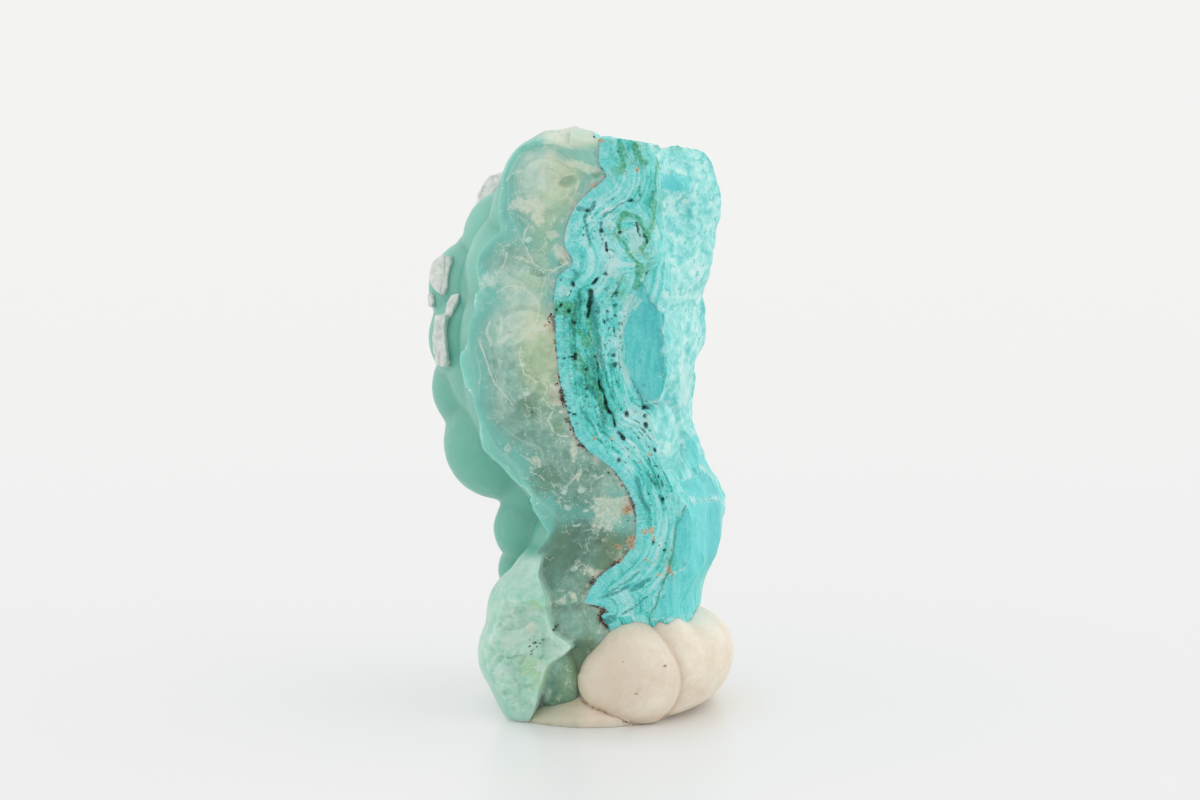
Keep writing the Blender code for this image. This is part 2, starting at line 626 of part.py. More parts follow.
def material(name, colour, roughness):
    """A plain material with the piece's own colour."""
    made = bpy.data.materials.new(name)
    made.use_nodes = True
    shader = made.node_tree.nodes["Principled BSDF"]
    shader.inputs["Base Color"].default_value = (*colour, 1)
    shader.inputs["Roughness"].default_value = roughness
    shader.inputs["Metallic"].default_value = 0
    made.diffuse_color = (*colour, 1)
    return made


def finish(thing, made):
    """Gives a piece its material and its shading."""
    thing.data.materials.clear()
    thing.data.materials.append(made)
    thing.data.shade_smooth()
    thing.data.set_sharp_from_angle(angle=SHARP_ANGLE)


def move_to_origin(pieces):
    """Puts the origin under the middle of the whole specimen, on the floor."""
    corners = np.array([v.co for piece in pieces for v in piece.data.vertices])
    low, high = corners.min(axis=0), corners.max(axis=0)
    shift = Matrix.Translation((-(low[0] + high[0]) / 2, -(low[1] + high[1]) / 2, -low[2]))
    for piece in pieces:
        piece.data.transform(shift)
    return shift.to_translation()


def main():
    """Builds the whole specimen in an empty scene."""
    for thing in list(bpy.data.objects):
        bpy.data.objects.remove(thing)
    specimen = bpy.data.collections.new("smithsonite_specimen")
    cutters = bpy.data.collections.new("cutters")
    bpy.context.scene.collection.children.link(specimen)
    bpy.context.scene.collection.children.link(cutters)

    blank = stone_blank(cutters)
    blank.hide_render = True
    blank.display_type = "WIRE"
    crust = copy_of(blank, "smithsonite_crust", specimen)
    cut(crust, contact_cutter("rock_side", 1, cutters))
    largest_piece(crust)
    matrix = copy_of(blank, "banded_matrix", specimen)
    cut(matrix, contact_cutter("crust_side", -1, cutters))
    largest_piece(matrix)
    putty = putty_lump(blank, specimen, cutters)
    grown_crust = grown_copy(crust, "grown_crust", CRYSTAL_GAP, None, GROWN_CRUST_TRIANGLES, cutters)
    crystals = []
    for number, size in enumerate(WHITE_CRYSTALS, start=1):
        crystals.append(white_crystal(f"white_crystal_{number}", crust, grown_crust, size, specimen))

    finish(crust, material("crust", *CRUST_LOOK))
    finish(matrix, material("banded_rock", *ROCK_LOOK))
    finish(putty, material("putty", *PUTTY_LOOK))
    white = material("white_mineral", *WHITE_LOOK)
    for crystal in crystals:
        finish(crystal, white)
    return move_to_origin([crust, matrix, putty, *crystals])


if __name__ == "__main__":
    main()
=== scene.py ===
"""The smithsonite specimen with its looks: lobed crust, banded rock, white crystals and the putty under them.

Sizes are in millimetres from the same place as in the part's source: X runs to the right along the broken
section, Y runs back from it and Z is up. ORIGIN moves that place to the row's own origin. Marks on the section
are placed by column and row of the 1200 by 800 photograph, in which ten pixels are about a millimetre.
"""

import math
import random
from contextlib import contextmanager

import bmesh
import bpy
import numpy as np
from mathutils import Matrix, Vector, noise
from mathutils.bvhtree import BVHTree


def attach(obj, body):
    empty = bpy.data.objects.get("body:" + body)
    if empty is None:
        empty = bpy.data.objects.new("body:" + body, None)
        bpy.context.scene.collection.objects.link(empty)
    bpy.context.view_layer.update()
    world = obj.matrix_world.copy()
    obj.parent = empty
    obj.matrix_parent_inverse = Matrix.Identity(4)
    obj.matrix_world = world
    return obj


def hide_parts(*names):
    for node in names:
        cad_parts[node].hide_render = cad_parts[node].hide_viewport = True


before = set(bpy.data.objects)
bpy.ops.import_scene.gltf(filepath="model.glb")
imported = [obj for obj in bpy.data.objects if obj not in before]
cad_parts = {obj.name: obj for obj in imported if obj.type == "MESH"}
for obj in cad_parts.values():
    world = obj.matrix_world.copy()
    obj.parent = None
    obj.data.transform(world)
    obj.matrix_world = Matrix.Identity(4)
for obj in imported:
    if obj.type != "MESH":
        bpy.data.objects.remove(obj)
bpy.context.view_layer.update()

MM = 0.001
ORIGIN = Vector((1.8518, -16.7414, 0.0))

# The camera of the photograph.
LENS = 100
FILM = 36
VIEW_DISTANCE = 333.33
VIEW_HEIGHT = 32.7
VIEW_ELEVATION = math.radians(6)
VIEW_SLOPE_PER_PIXEL = FILM / LENS / 1200
PHOTO_MIDDLE = (600, 400)

# How fine the pieces are.
SKIN_VOXEL = 0.3
SECTION_ROW = 0.16
PUTTY_VOXEL = 0.3
CONTACT_PLAY = 0.02
BLOCK_COLUMNS, BLOCK_LEVELS = 230, 180
CRYSTAL_VOXEL = 0.08
CONTACT_LEVELS = 181
SKIN_FIT_TURNS, SKIN_FIT_REACH = 4, (0.7, 0.35)

# The numbers that the faces of each break keep until their piece has its material.
BREAKS = FRONT, BACK, TOP, FOOT, CONTACT = 1, 2, 3, 4, 5

# The stone's form, as in the part's source.
STONE_DEPTH = 33.0
BLOCK_LEFT = [(0, -6), (6, -8), (11, -7), (16, -5.5), (22, -7), (27, -11), (34, -13.5), (42, -13.5),
              (48, -10.5), (53, -7), (58, -3.5), (62, -2.5)]
BLOCK_RIGHT = [(0, 7.5), (8.7, 10.4), (12.1, 10.9), (15.5, 12.6), (20, 12.9), (24.3, 11.4), (28, 9.8),
               (32.7, 9.6), (38, 10.8), (41.8, 10.4), (45, 11.8), (49.5, 12.2), (54.3, 12.8), (58, 12.4),
               (62, 11)]
BLOCK_PLAN = [(0.02, -0.12), (0.4, -0.15), (0.72, -0.12), (0.9, 0.1), (0.97, 0.25), (1.0, 0.42), (0.97, 0.64),
              (0.87, 0.84), (0.64, 0.97), (0.35, 1.0), (0.13, 0.93), (0.0, 0.74), (-0.03, 0.5), (0.0, 0.22)]
CONTACT_FRONT = [(-6, 3), (8, 1.4), (9.6, 0.9), (10.9, 0.2), (11.7, 0.4), (12.1, -1.3), (13.0, -1.2), (15.1, 0.1),
                 (16.7, 2.3), (18.9, 3.5), (21.8, 3.4), (24.4, 2.3), (25.8, 1.2), (28, -1.6), (31.8, -3.3),
                 (36, -4.2), (40, -4.5), (43.9, -4.5), (45.2, -4.1), (46.3, -2.8), (48, -3.5), (50.5, -3.2),
                 (52.4, -2.2), (53.8, -0.8), (55, 0.6), (56.2, 0), (58.8, -0.1), (68, -0.1)]
CONTACT_BACK = [(-6, 2), (6, 0.5), (13, -2), (20, 0.5), (27, -2.5), (34, -5.5), (42, -3.5), (50, -4.5),
                (58, -1.5), (68, -1)]
FRONT_EDGE = [(-6, 8), (9, 8.4), (15, 9), (22, 9.4), (27, 8.6), (31, 7), (36, 6.6), (43, 6), (49, 5.6),
              (56, 4.6), (60, 3.6), (68, 3.6)]
LEDGE = [(-6, -7), (0, -7), (0.9, -6.6), (2.5, -6.1), (4.5, -5.5), (6.1, -4.8), (7.1, -3.3), (7.9, -2.7),
         (8.8, -4.1), (10.9, -5.0), (13, -5.3), (15.3, -6.1), (17.4, -5.6), (22, -6), (30, -9), (68, -9)]
BULGE_TOP, BULGE_TOP_FADE = 17.5, 1.5
FOOT_LOBE = ((-4.1, 3.9), (1.95, 3.7), 1.5)
SECTION_LOBES = [(-4.9, 2.8, 54.2, 4.9), (-5.4, 4.5, 51.0, 5.6), (-6.9, 5.5, 45.3, 6.7), (-6.4, 5.5, 38.6, 7.8),
                 (-4.8, 5.5, 33.4, 8.8), (-0.6, 6.0, 27.6, 8.7), (-0.5, 5.5, 16.2, 6.7)]
SUMMIT_LOBES = [(-2.0, 3.9, 57.0, 2.9), (-3.9, 4.2, 56.9, 2.2), (-5.2, 4.0, 58.3, 0.95), (-5.0, 9.5, 57.0, 2.1),
                (-3.6, 9.5, 54.6, 3.8), (-1.0, 9.0, 54.6, 3.0)]
SIDE_LOBES = [(-7.0, 10.0, 52.0, 3.7), (-9.2, 13.0, 48.3, 4.9), (-12.9, 14.0, 43.0, 4.9),
              (-12.7, 11.5, 38.0, 5.0), (-12.3, 14.5, 32.6, 5.2), (-10.4, 12.0, 27.0, 5.8),
              (-7.4, 10.5, 18.2, 3.6), (-7.2, 13.0, 13.6, 3.4), (-6.2, 10.5, 22.6, 4.0),
              (-10.2, 9.0, 34.5, 5.2), (-9.0, 9.0, 43.5, 5.2), (-7.5, 9.0, 29.5, 5.4)]
BULGE_LOBES = [(-6.6, 2.6, 10.8, 4.9), (-7.7, 2.2, 6.7, 4.7), (-7.3, 1.8, 3.8, 3.5), (-7.1, 1.9, 2.4, 3.2),
               (-4.6, 2.2, 13.6, 3.8), (-3.6, 3.6, 3.8, 3.8), (-4.6, 3.0, 8.2, 4.8), (-5.9, 3.2, 14.9, 2.6)]
BACK_LOBE_ROWS = 8
BACK_LOBE_TURNS = 5
BACK_LOBE_START = 0.865
BACK_LOBE_STEP = 0.047
BACK_LOBE_RADIUS = (3.2, 6.2)
BACK_LOBE_SINK = 1.5
BACK_LOBE_LOWEST, BACK_LOBE_RISE, BACK_LOBE_STAGGER = 7.5, 6.3, 1.6
BACK_LOBE_WANDER, BACK_LOBE_SHIFT = 1.5, 0.012
BACK_SEED = 11
CHIP_SIZE = 7.0
CHIP_RELIEF = 1.4
CREASE_ROUNDING = 0.40

# How the section lies: its fall to the left, the proud lip beside the contact, the side that falls back on the
# right, the hollows where chips have come out (middle, half width and height, depth) and the bulge at the foot.
SECTION_FALL, SECTION_FALL_WIDTH = 1.6, 10
LIP_STAND, LIP_OFFSET, LIP_WIDTH = 0.35, 1.2, 1.4
SIDE_FALL, SIDE_CURVE, SIDE_LEAST = 15.5, 1.25, 2
SCOOPS = [((4.2, 36.2), (2.6, 6.8), 1.4), ((7.2, 50.5), (2.2, 4.0), 1.6), ((-1.0, 20.5), (5.0, 4.0), 0.6)]
BULGE_STAND, BULGE_WAVE, BULGE_WAVE_RATE = 2.3, 0.9, 0.55
LEDGE_HALF_WIDTH = 0.45
EDGE_WANDER, EDGE_WANDER_SIZE = 0.9, 3.5
SECTION_ROUGH, SECTION_WAVE, SECTION_WAVE_SIZE = 0.15, 0.18, 3

# The contact behind the section, the rock's top with the crust's dome beside it, the back and the foot.
CONTACT_BOW, CONTACT_RIPPLE, CONTACT_RIPPLE_SIZE = 2.2, 0.7, 5.5
TOP_HEIGHT, TOP_SLOPE, TOP_BEND, TOP_STEP = 58.8, 0.09, 0.0015, 0.4
SHOULDER_START, SHOULDER_WIDTH, SHOULDER_DROP, SHOULDER_CURVE = 9.6, 2.6, 3.0, 2.2
DOME_MIDDLE, DOME_HALF, DOME_BASE, DOME_RISE = (-2.8, 4), (3.2, 4.6), 57.8, 2.0
TOP_CLEARANCE = 5
BACK_SETBACK, BACK_LEAN, BACK_CLEARANCE, BACK_ROUGH = 0.6, 3, 8, 1.4
FOOT_BASE, FOOT_LIFT, FOOT_RIGHT_LIFT, FOOT_SLOPE, FOOT_SLOPE_START = 0.15, 5.8, 1.8, 0.17, 6
FOOT_ROUGH = 1.2

# Fine relief in layers, as (depth, size, seed), and chips, as (size, seed, tilt, groove, groove width).
BANDING = [(0.10, (0.5, 2.4, 2.4), 41), (0.10, (0.35, 0.6, 0.6), 44)]
CONTACT_GRAIN = [(0.10, 1.0, 161)]
BLOCKY = [(0.13, 1.2, 47), (0.13, 0.45, 50)]
SIDE_GRAIN, FACET_GRAIN = [(0.25, 1.6, 57)], [(0.03, 0.35, 60)]
WAXY_GRAIN = [(0.10, 1.6, 66), (0.045, 0.4, 69)]
BULGE_GRAIN = [(0.12, 0.8, 80)]
BLOCK_GRAIN = [(0.12, 1.2, 84)]
PUTTY_GRAIN = [(0.16, 4.5, 221), (0.035, 1.2, 224)]
SECTION_CHIPS = ((1.9, 2.4, 2.6), 53, 0.16, -0.10, 0.35)
BULGE_CHIPS = ((1.9, 1.9, 2.3), 79, 0.45, 0.15, 0.3)
BLOCK_CHIPS = (2.6, 81, 0.30, 0.12, 0.4)
SIDE_CHIP_SHARE = 1.7
WAXY_FACET_SIZE, WAXY_FACET_TILT = 3.2, 0.20
PORE_SIZE, PORE_DEPTH = (0.5, 0.5, 0.7), 0.22
VEIN_STAND = 0.05
LOBE_DIMPLES = [(0.05, 1.7, 91), (0.02, 0.7, 92)]
RAGGED = [(2.2, 1.1, 21), (1.0, 0.4, 31)]

# Putty, as (x, y, z, half width, half depth, half height) of the soft lumps that were kneaded together, and the
# pressed pad on their front.
PUTTY_LUMPS = [(3.9, 6.0, 4.6, 7.4, 7.2, 4.9), (8.6, 10.4, 5.5, 5.3, 9.4, 4.6), (-1.4, 3.4, 0.2, 7.2, 5.9, 0.9),
               (-0.6, 1.6, 0.0, 4.8, 4.0, 2.3), (6.4, 1.7, 6.3, 3.0, 2.9, 4.6),
               (3.0, 16.0, 3.0, 9.8, 12.5, 5.0), (-1.8, 17.0, 3.6, 7.4, 9.5, 5.2)]
PUTTY_BLEND = 0.9
PUTTY_PAD = (3.2, 0.9, 4.85)
PUTTY_PAD_RADIUS = (5.45, 5.5)
PUTTY_PAD_HALF = 3.9
PUTTY_PAD_ROUNDING = 2.6
PUTTY_PAD_LEAN = math.radians(7)
# Dents in the pad's outline as (angle, depth), how its skin is drawn to this form, and the crease beside it.
PAD_DENTS, PAD_DENT_WIDTH, PAD_DOMING = [(2.45, 0.17), (-2.55, -0.05)], 0.5, 0.9
PUTTY_FIT_TURNS, PUTTY_FIT_REACH, PUTTY_FIT_STEP = 12, 0.05, 0.6
FOLD_DEPTH, FOLD_WIDTH, FOLD_SHADE_WIDTH = 0.20, 0.22, 0.3

# Flat white crystals, as (middle in the photograph, thickness, corners as the camera sees them). They turn part of
# the way to the camera, stand out by a share of their thickness, and are split in low plates.
CRYSTAL_FACING, CRYSTAL_ABOVE, CRYSTAL_BELOW, CRYSTAL_FLARE, CRYSTAL_CROWN = 0.7, 0.75, 0.9, 0.06, 1 / 15
PLATE_DEPTH, PLATE_SIZE = 0.22, (0.9, 0.9, 1.6)
CRYSTAL_GRAIN, CRYSTAL_GRAIN_SIZE, CRYSTAL_RAGGED = 0.10, 0.5, 0.05
WHITE_CRYSTALS = [((493, 191), 1.0, [(479, 201), (481, 195), (488, 186), (494, 178), (501, 174.6), (507, 174),
        (505.5, 181), (504.5, 191), (499, 199.5), (494, 204.6), (490, 203), (481, 206.5)]),
    ((442, 275), 1.0, [(432, 273), (435, 263), (444, 256.4), (451, 256.4), (452.4, 264), (450.4, 274), (449, 287),
        (445.4, 294.5), (440, 293.4), (435, 287), (432.4, 280.5)]),
    ((453, 307), 0.8, [(446.6, 315), (449, 304.7), (453.6, 297), (460.6, 295.2), (460, 301), (456, 310),
        (453, 317.5), (449, 318.8)]),
    ((443, 341), 1.0, [(437.6, 315.5), (448, 315), (447, 330), (448.6, 345), (450, 362), (446, 366), (438.6, 364),
        (436.5, 350), (435, 336), (436.4, 325)]),
    ((433.6, 300), 0.7, [(431, 293), (435, 295.5), (436, 301), (434, 307), (431, 305)])]

# Marks, each read by the material input of its name. Spots are (column, row, radius) or (column, row, half width,
# half height, turn in degrees), where the turn may be left out, and strokes are (width, [(column, row), ...]).
SPOTS = {
    "blue": [(650, 316, 12, 20, -10), (658, 340, 7, 12), (671, 184, 9, 8), (670, 226, 4, 6), (714, 534, 7, 34, 4),
        (706, 478, 10, 5, 30), (714, 488, 7, 8), (691, 486, 9, 4, 30), (660, 364, 6, 10), (668, 398, 3, 10)],
    "pale": [(684, 384, 7, 24), (700, 448, 9, 6), (637, 239, 8, 16, 8), (614, 272, 7, 5, 20), (609, 225, 6, 5),
        (562, 290, 6)],
    "rust": [(637, 169, 1.8, 2.2), (641, 182, 1.2, 1.5), (595, 439, 2.2, 1.8), (611.4, 438.5, 1.8, 1.6),
        (648.4, 455.7, 1.7), (661, 489, 1.4, 2.4), (645, 532, 4.5, 2.6, 10), (652, 531, 3, 3.6),
        (655, 540, 2.5, 3), (644.6, 561.6, 2.4, 1.8), (652, 562.4, 1.8, 1.4), (668, 569, 3, 3.6),
        (671, 575, 2, 3.4, -20), (658.6, 575, 1.6, 1.4), (616.5, 547, 4, 2.6, 10), (620, 561.6, 2.2, 1.9),
        (545.7, 327, 2.4, 1.6), (627, 510, 4, 5, 20), (631, 541, 4, 7, 10), (640, 464, 2, 1.6),
        (649, 476, 1.6, 1), (600, 140, 4, 2.2, 20), (594, 187, 2.4, 2.2)],
    "cream": [(570, 138, 27, 7, -6), (527, 206, 16, 8, 18), (538, 217, 7, 8, 30), (541, 187, 5, 3.4, -10),
        (579, 186, 2.4, 6, 15), (580, 167, 17, 3.4, 14), (561, 253, 6, 9, -20), (554, 236, 6, 4.4),
        (537, 328, 16, 4.4, -10), (556, 389, 8, 5, 10), (557, 402, 6, 4), (573, 450, 3, 11, -5),
        (612, 512, 19, 15, -38), (624, 507, 9), (591, 571, 7, 4, 10), (560, 601, 6, 4), (531, 627, 5, 6),
        (535, 461, 8, 4, 25), (600, 499, 7, 1.6), (616, 500, 4), (573, 597, 3, 6, -30), (563, 412, 3, 2),
        (580, 434, 3, 5, 20), (559, 282, 8, 3, 10), (562, 291, 5, 2.4), (579, 474, 2.5, 6, 25),
        (600, 476, 5, 2, -35)],
    "milk": [(487, 280, 11, 8, -15), (516, 588, 3.6, 4.4), (524, 597, 3, 3.6), (502, 671, 8, 6, 20),
        (516, 684, 3), (541, 702, 6, 13, 25), (540, 668, 5, 4), (508, 642, 7, 6), (568, 508, 3, 2),
        (585.5, 511, 3, 1.6), (577, 523.5, 6, 1.4), (566, 490, 2.6, 4), (580, 489, 4, 3, 25), (574.6, 569, 2.6),
        (568, 594, 2), (533, 612, 6, 4), (520, 573, 12, 4, -30), (549, 605, 2, 8, -10), (556, 652, 6, 3, 30),
        (570, 640, 5, 2, -20), (519, 398, 3, 2), (525, 394, 5, 2.4, -20), (521, 365, 3, 2), (530, 240, 3, 2)],
    "lime": [(528, 280, 10, 6, 25), (541, 356, 16, 17), (562, 425, 8, 9), (572, 172, 20, 14), (560, 210, 10, 14),
        (538, 602, 9, 8), (530, 668, 12, 10), (547, 236, 14, 16), (572, 140, 24, 9), (540, 675, 10, 14, 20),
        (569, 680, 9, 24, 15)],
    # The clear spot at column 583, row 655 is painted shade in the same nook beside the putty pad; the other clear
    # spots are the crust's own clear patches.
    "clear": [(622, 545, 11, 20, 25), (605, 562, 14, 8, -25), (568, 181, 10, 5, -15), (563, 258, 4, 8, 30),
        (583, 655, 12, 14, 45), (563, 692, 11, 30, 24), (540, 275, 9, 3, 15), (596, 174, 6, 4, 20),
        (557, 430, 5, 6), (544, 480, 14, 16, 20), (560, 545, 10, 30, 10), (528, 405, 14, 12)],
    "brown": [(556, 397, 6, 7), (626, 508, 8, 8, 20), (632, 544, 5, 9, 10), (601, 141, 5, 3, 20), (596, 186, 4),
        (553, 327, 5, 8), (603, 612, 5, 10)],
    "dots": [(544.8, 638.3, 1.5), (529, 640, 1.2), (535, 643.5, 1.8), (531, 647, 1.2), (538, 648, 1.4),
        (541, 643, 1.3), (533, 652, 1.2), (537, 639, 0.9), (556, 628, 1.8), (553, 631, 1.0), (559, 626, 1.0),
        (557, 632, 0.9), (533, 411, 1.1), (528, 645, 0.9), (546, 641, 0.9), (532, 655, 0.8)],
    "stain": [(636, 693, 2.0, 1.9), (665, 666, 2.2, 1.4, 20), (641, 689, 1.2, 0.9), (584, 706, 0.9),
        (623, 662, 0.8), (639, 718, 0.8)],
}
STROKES = {
    "green": [(4, [(620, 229), (617, 221), (622, 214), (632, 214), (641, 219), (646, 229), (646, 240),
            (641, 250)]),
        (3.2, [(618, 236), (625, 245), (631, 256), (639, 267), (643, 275)]),
        (2.4, [(656, 160), (655, 176), (656, 194)]), (4.8, [(655, 203), (655, 214), (651, 227), (648, 238)]),
        (5.6, [(621, 146), (623, 158), (622, 170)]), (6.4, [(634, 146), (640, 158), (645, 162)]),
        (2.4, [(637, 189), (640, 196)]), (3.2, [(579, 330), (586, 340), (590, 349)]),
        (2.4, [(578, 348), (582, 360), (583, 370)]), (2.4, [(589, 312), (591, 330), (590, 345)]),
        (3.2, [(636, 266), (640, 278), (636, 288)]), (7.2, [(556, 304), (571, 305)]),
        (4, [(556, 312), (570, 314)]), (2.4, [(572, 316), (575, 326)]),
        (2.4, [(597, 385), (600, 398), (606, 410)]), (2, [(576, 362), (580, 372), (586, 378)]),
        (2.4, [(672, 556), (668, 566), (666, 578)]), (2, [(640, 246), (644, 256)])],
    "deep": [(6, [(594, 303), (595, 322), (597, 349), (602, 366)]), (4, [(580, 207), (588, 210), (594, 203)]),
        (3, [(603, 216), (607, 211), (614, 207), (621, 202)]), (2.5, [(627, 201), (633, 202)]),
        (3, [(586, 214), (587, 226), (589, 240)]), (2.5, [(601, 222), (601, 235)]), (3, [(610, 250), (614, 252)]),
        (3, [(573, 270), (577, 276)]), (4, [(594, 392), (600, 404), (605, 424)]),
        (3, [(633, 383), (640, 397), (648, 408)]), (3, [(581, 408), (590, 420), (598, 434)]),
        (4, [(635, 478), (641, 494), (648, 510)]), (3, [(589, 356), (592, 370)]),
        (4, [(632, 588), (642, 585), (650, 580)]), (3, [(606, 596), (618, 592), (628, 586)]),
        (5, [(600, 622), (614, 618)]), (2.5, [(646, 596), (640, 604), (622, 612)]), (3, [(667, 422), (674, 430)])],
    "pale": [(8, [(632, 298), (626, 314), (620, 330), (619, 346), (622, 362), (627, 376)]),
        (6, [(634, 408), (646, 416), (658, 424)]), (7, [(671, 438), (676, 450), (679, 464)]),
        (4, [(604, 268), (612, 262), (620, 262)]), (3, [(634, 252), (638, 262)]), (5, [(566, 222), (567, 236)]),
        (5, [(571, 214), (578, 204)]), (4, [(597, 352), (600, 366)]), (3, [(606, 170), (613, 178), (618, 188)]),
        (4, [(640, 300), (634, 310)]), (3, [(560, 288), (568, 292)]), (3, [(684, 470), (700, 466), (712, 476)]),
        (2.4, [(660, 578), (674, 574), (688, 567), (697, 560)])],
    "vein": [(1.2, [(529, 223), (526, 232), (525, 243), (528, 252), (534, 262)]),
        (2.0, [(515, 257), (524, 260), (534, 264), (544, 268), (552, 271), (558, 266), (564, 264), (569, 264)]),
        (1.8, [(518, 281), (524, 288), (531, 294), (536, 302), (538, 311), (536, 322), (529, 331), (521, 338),
            (514, 345)]),
        (1.0, [(498, 292), (505, 286), (514, 285), (524, 290)]), (4.5, [(501, 318), (501, 331)]),
        (5.5, [(500, 340), (511, 336)]), (2.6, [(489, 322), (488, 334), (490, 345)]),
        (1.0, [(480, 341), (486, 361), (496, 384), (511, 403)]), (1.2, [(492, 205), (491, 215), (489, 230)]),
        (1.8, [(521, 345), (519, 356), (521, 366), (526, 374), (534, 380), (543, 384), (547, 390)]),
        (2.0, [(553, 412), (549, 420), (552, 430), (560, 436), (568, 437)]),
        (1.8, [(530, 471), (540, 475), (547, 478)]), (3.0, [(541, 142), (556, 145), (575, 149)]),
        (1.4, [(547, 390), (545, 398), (549, 406), (556, 410)]), (1.2, [(594, 503), (603, 501), (612, 500)]),
        (1.2, [(590, 508), (602, 505)]), (1.4, [(596, 517), (610, 510)]),
        (1.4, [(568, 486), (573, 479), (577, 475)]), (1.2, [(597, 478), (603, 473)]),
        (1.0, [(603, 531), (612, 521), (618, 515)]), (1.2, [(506, 182), (512, 175), (522, 170)]),
        (1.0, [(556, 182), (566, 177), (577, 173)]), (1.4, [(566, 271), (562, 276), (566, 281)]),
        (1.2, [(506, 253), (504, 262), (499, 268)])],
}

# Parts of the photograph with pores, malachite and flecks, the crust's pale crest and the oval of painted shade on
# the putty's pad.
PORE_ZONES = [(571, 310, 17, 26), (586, 372, 22, 44, -12), (604, 420, 20, 34, -32), (612, 330, 16, 50),
              (590, 226, 12, 22), (648, 214, 14, 22), (652, 430, 20, 52, -8), (604, 300, 16, 20),
              (656, 480, 14, 34)]
MALACHITE_ZONES = [(650, 145, 44, 4, 3), (562, 307, 10), (585, 350, 14, 46, -8), (620, 158, 10, 18),
    (638, 156, 9, 14), (655, 206, 7, 22), (622, 228, 12), (645, 262, 10, 20), (618, 290, 12), (668, 565, 8, 14),
    (600, 400, 10, 24, -25)]
CREST = [(572, 136, 30, 12, 4)]
PAD_SHADE = [(606, 676, 32, 50, 15)]
FLECK_ZONES = [(520, 272, 44, 30), (548, 235, 22, 24), (520, 205, 26, 22), (575, 480, 46, 60, -35),
               (505, 318, 18, 22), (595, 590, 26, 20), (522, 592, 18, 16), (540, 400, 22, 26), (530, 660, 26, 34),
               (612, 520, 22, 24)]

# Marks that are cut into the rock: pits are (column, row, radius, depth), and the others (width, depth, path).
PITS = [(602.5, 232, 2.4, 0.6), (621.5, 233, 1.8, 0.5), (572.6, 283.7, 2.4, 0.6), (560.5, 279.5, 1.4, 0.4),
        (616, 293, 2.6, 0.5), (614, 305.5, 1.9, 0.4), (606, 312, 1.7, 0.35), (603.4, 322.5, 1.4, 0.35),
        (573.5, 321.6, 1.9, 0.5), (569, 310, 2.3, 0.6), (560, 303.7, 1.8, 0.5), (556, 308, 1.8, 0.5),
        (613, 354, 2.6, 0.35), (616, 366, 2.2, 0.35), (645.9, 406, 3.0, 0.6), (626, 413, 2.5, 0.45),
        (652, 412, 1.6, 0.4), (646, 416, 1.7, 0.4), (647, 424, 2.4, 0.5), (662.4, 427, 1.6, 0.35),
        (654, 452, 1.4, 0.5), (648, 460, 1.2, 0.5), (655, 465, 1.3, 0.5), (658, 477, 1.4, 0.4),
        (663, 486, 1.2, 0.4), (663, 500.5, 1.8, 0.6), (673, 438.5, 1.3, 0.4), (674.6, 446, 1.4, 0.4),
        (675, 461, 1.4, 0.4), (618.4, 460, 2.6, 0.3), (630, 201, 2.0, 0.3), (587, 209, 2.2, 0.3),
        (655, 543, 1.5, 0.4), (663, 552, 1.6, 0.3), (692, 560, 1.2, 0.3), (575, 423, 1.2, 0.3),
        (588, 390, 1.7, 0.35), (648, 272, 1.4, 0.3), (585, 371, 1.5, 0.3), (606, 274, 1.4, 0.3)]
FISSURES = [(3.0, 0.6, [(599, 280), (594, 285)]), (4.4, 0.9, [(592, 292), (591, 300), (589, 305)]),
            (3.2, 0.7, [(589, 307), (588.5, 318)]), (1.8, 0.4, [(594.5, 356), (597, 370)]),
            (2.4, 0.6, [(599, 379), (602, 389), (606, 403)]), (4.2, 0.8, [(606, 403), (610, 414)]),
            (2.4, 0.6, [(610, 414), (615, 427)]), (3.4, 0.6, [(619, 432), (624, 437)]),
            (1.8, 0.5, [(556, 357), (565, 359)]), (2.2, 0.6, [(569, 358), (577, 356)]),
            (2.8, 0.6, [(575, 353), (576, 360)]), (2.2, 0.6, [(605, 241), (606, 245)]),
            (2.8, 0.6, [(606, 248), (606.5, 251)]), (1.8, 0.5, [(567, 412), (575, 414)]),
            (1.2, 0.3, [(636, 222), (639, 228), (642, 236)]), (1.6, 0.4, [(646, 234), (647, 243)])]
CRACKS = [(2.4, 0.12, [(688, 503), (682, 512), (678, 525), (675, 534), (673, 548), (672, 560)]),
          (2.0, 0.12, [(672, 560), (666, 578), (656, 600), (652, 612), (651, 621)]),
          (1.4, 0.12, [(675, 470), (690, 474), (704, 480)]), (1.2, 0.25, [(682, 474), (684, 490), (688, 503)]),
          (1.4, 0.12, [(640, 570), (628, 582), (612, 590), (598, 600)])]

SPOTS["pits"] = [pit[:3] for pit in PITS]
STROKES["pits"] = [(width, path) for width, _, path in FISSURES]
STROKES["cracks"] = [(width, path) for width, _, path in CRACKS]

# Smooth facets of the rock, as outlines in the photograph, and how deep each lies.
FACET_OUTLINES = [[(641, 281), (646, 291), (651, 303), (657, 310), (663.5, 314), (663, 325), (659, 330),
        (663, 337), (663, 345), (658, 351), (663, 356), (663, 368), (660, 375), (663.5, 379), (663.5, 393),
        (660, 398), (651, 401), (639, 393), (630, 379), (624, 360), (623.5, 341), (626, 321), (632, 302),
        (637, 290)],
    [(661, 173), (680, 174), (693, 178), (690, 190), (676, 193), (662, 190)],
    [(684, 507), (696, 502), (708, 501), (722, 500), (724, 530), (722, 560), (712, 566), (701, 584), (700, 614),
        (652, 621), (657, 598), (668, 575), (673, 548), (676, 525)],
    [(686, 438), (696, 434), (706, 440), (707, 462), (692, 470), (684, 456)],
    [(677, 478), (688, 480), (702, 472), (716, 476), (721, 492), (706, 499), (690, 496), (680, 490)]]
FACET_SINK = (0.5, 0.15, -0.1, 0.3, 0.35)
FACET_RAGGED = 0.35

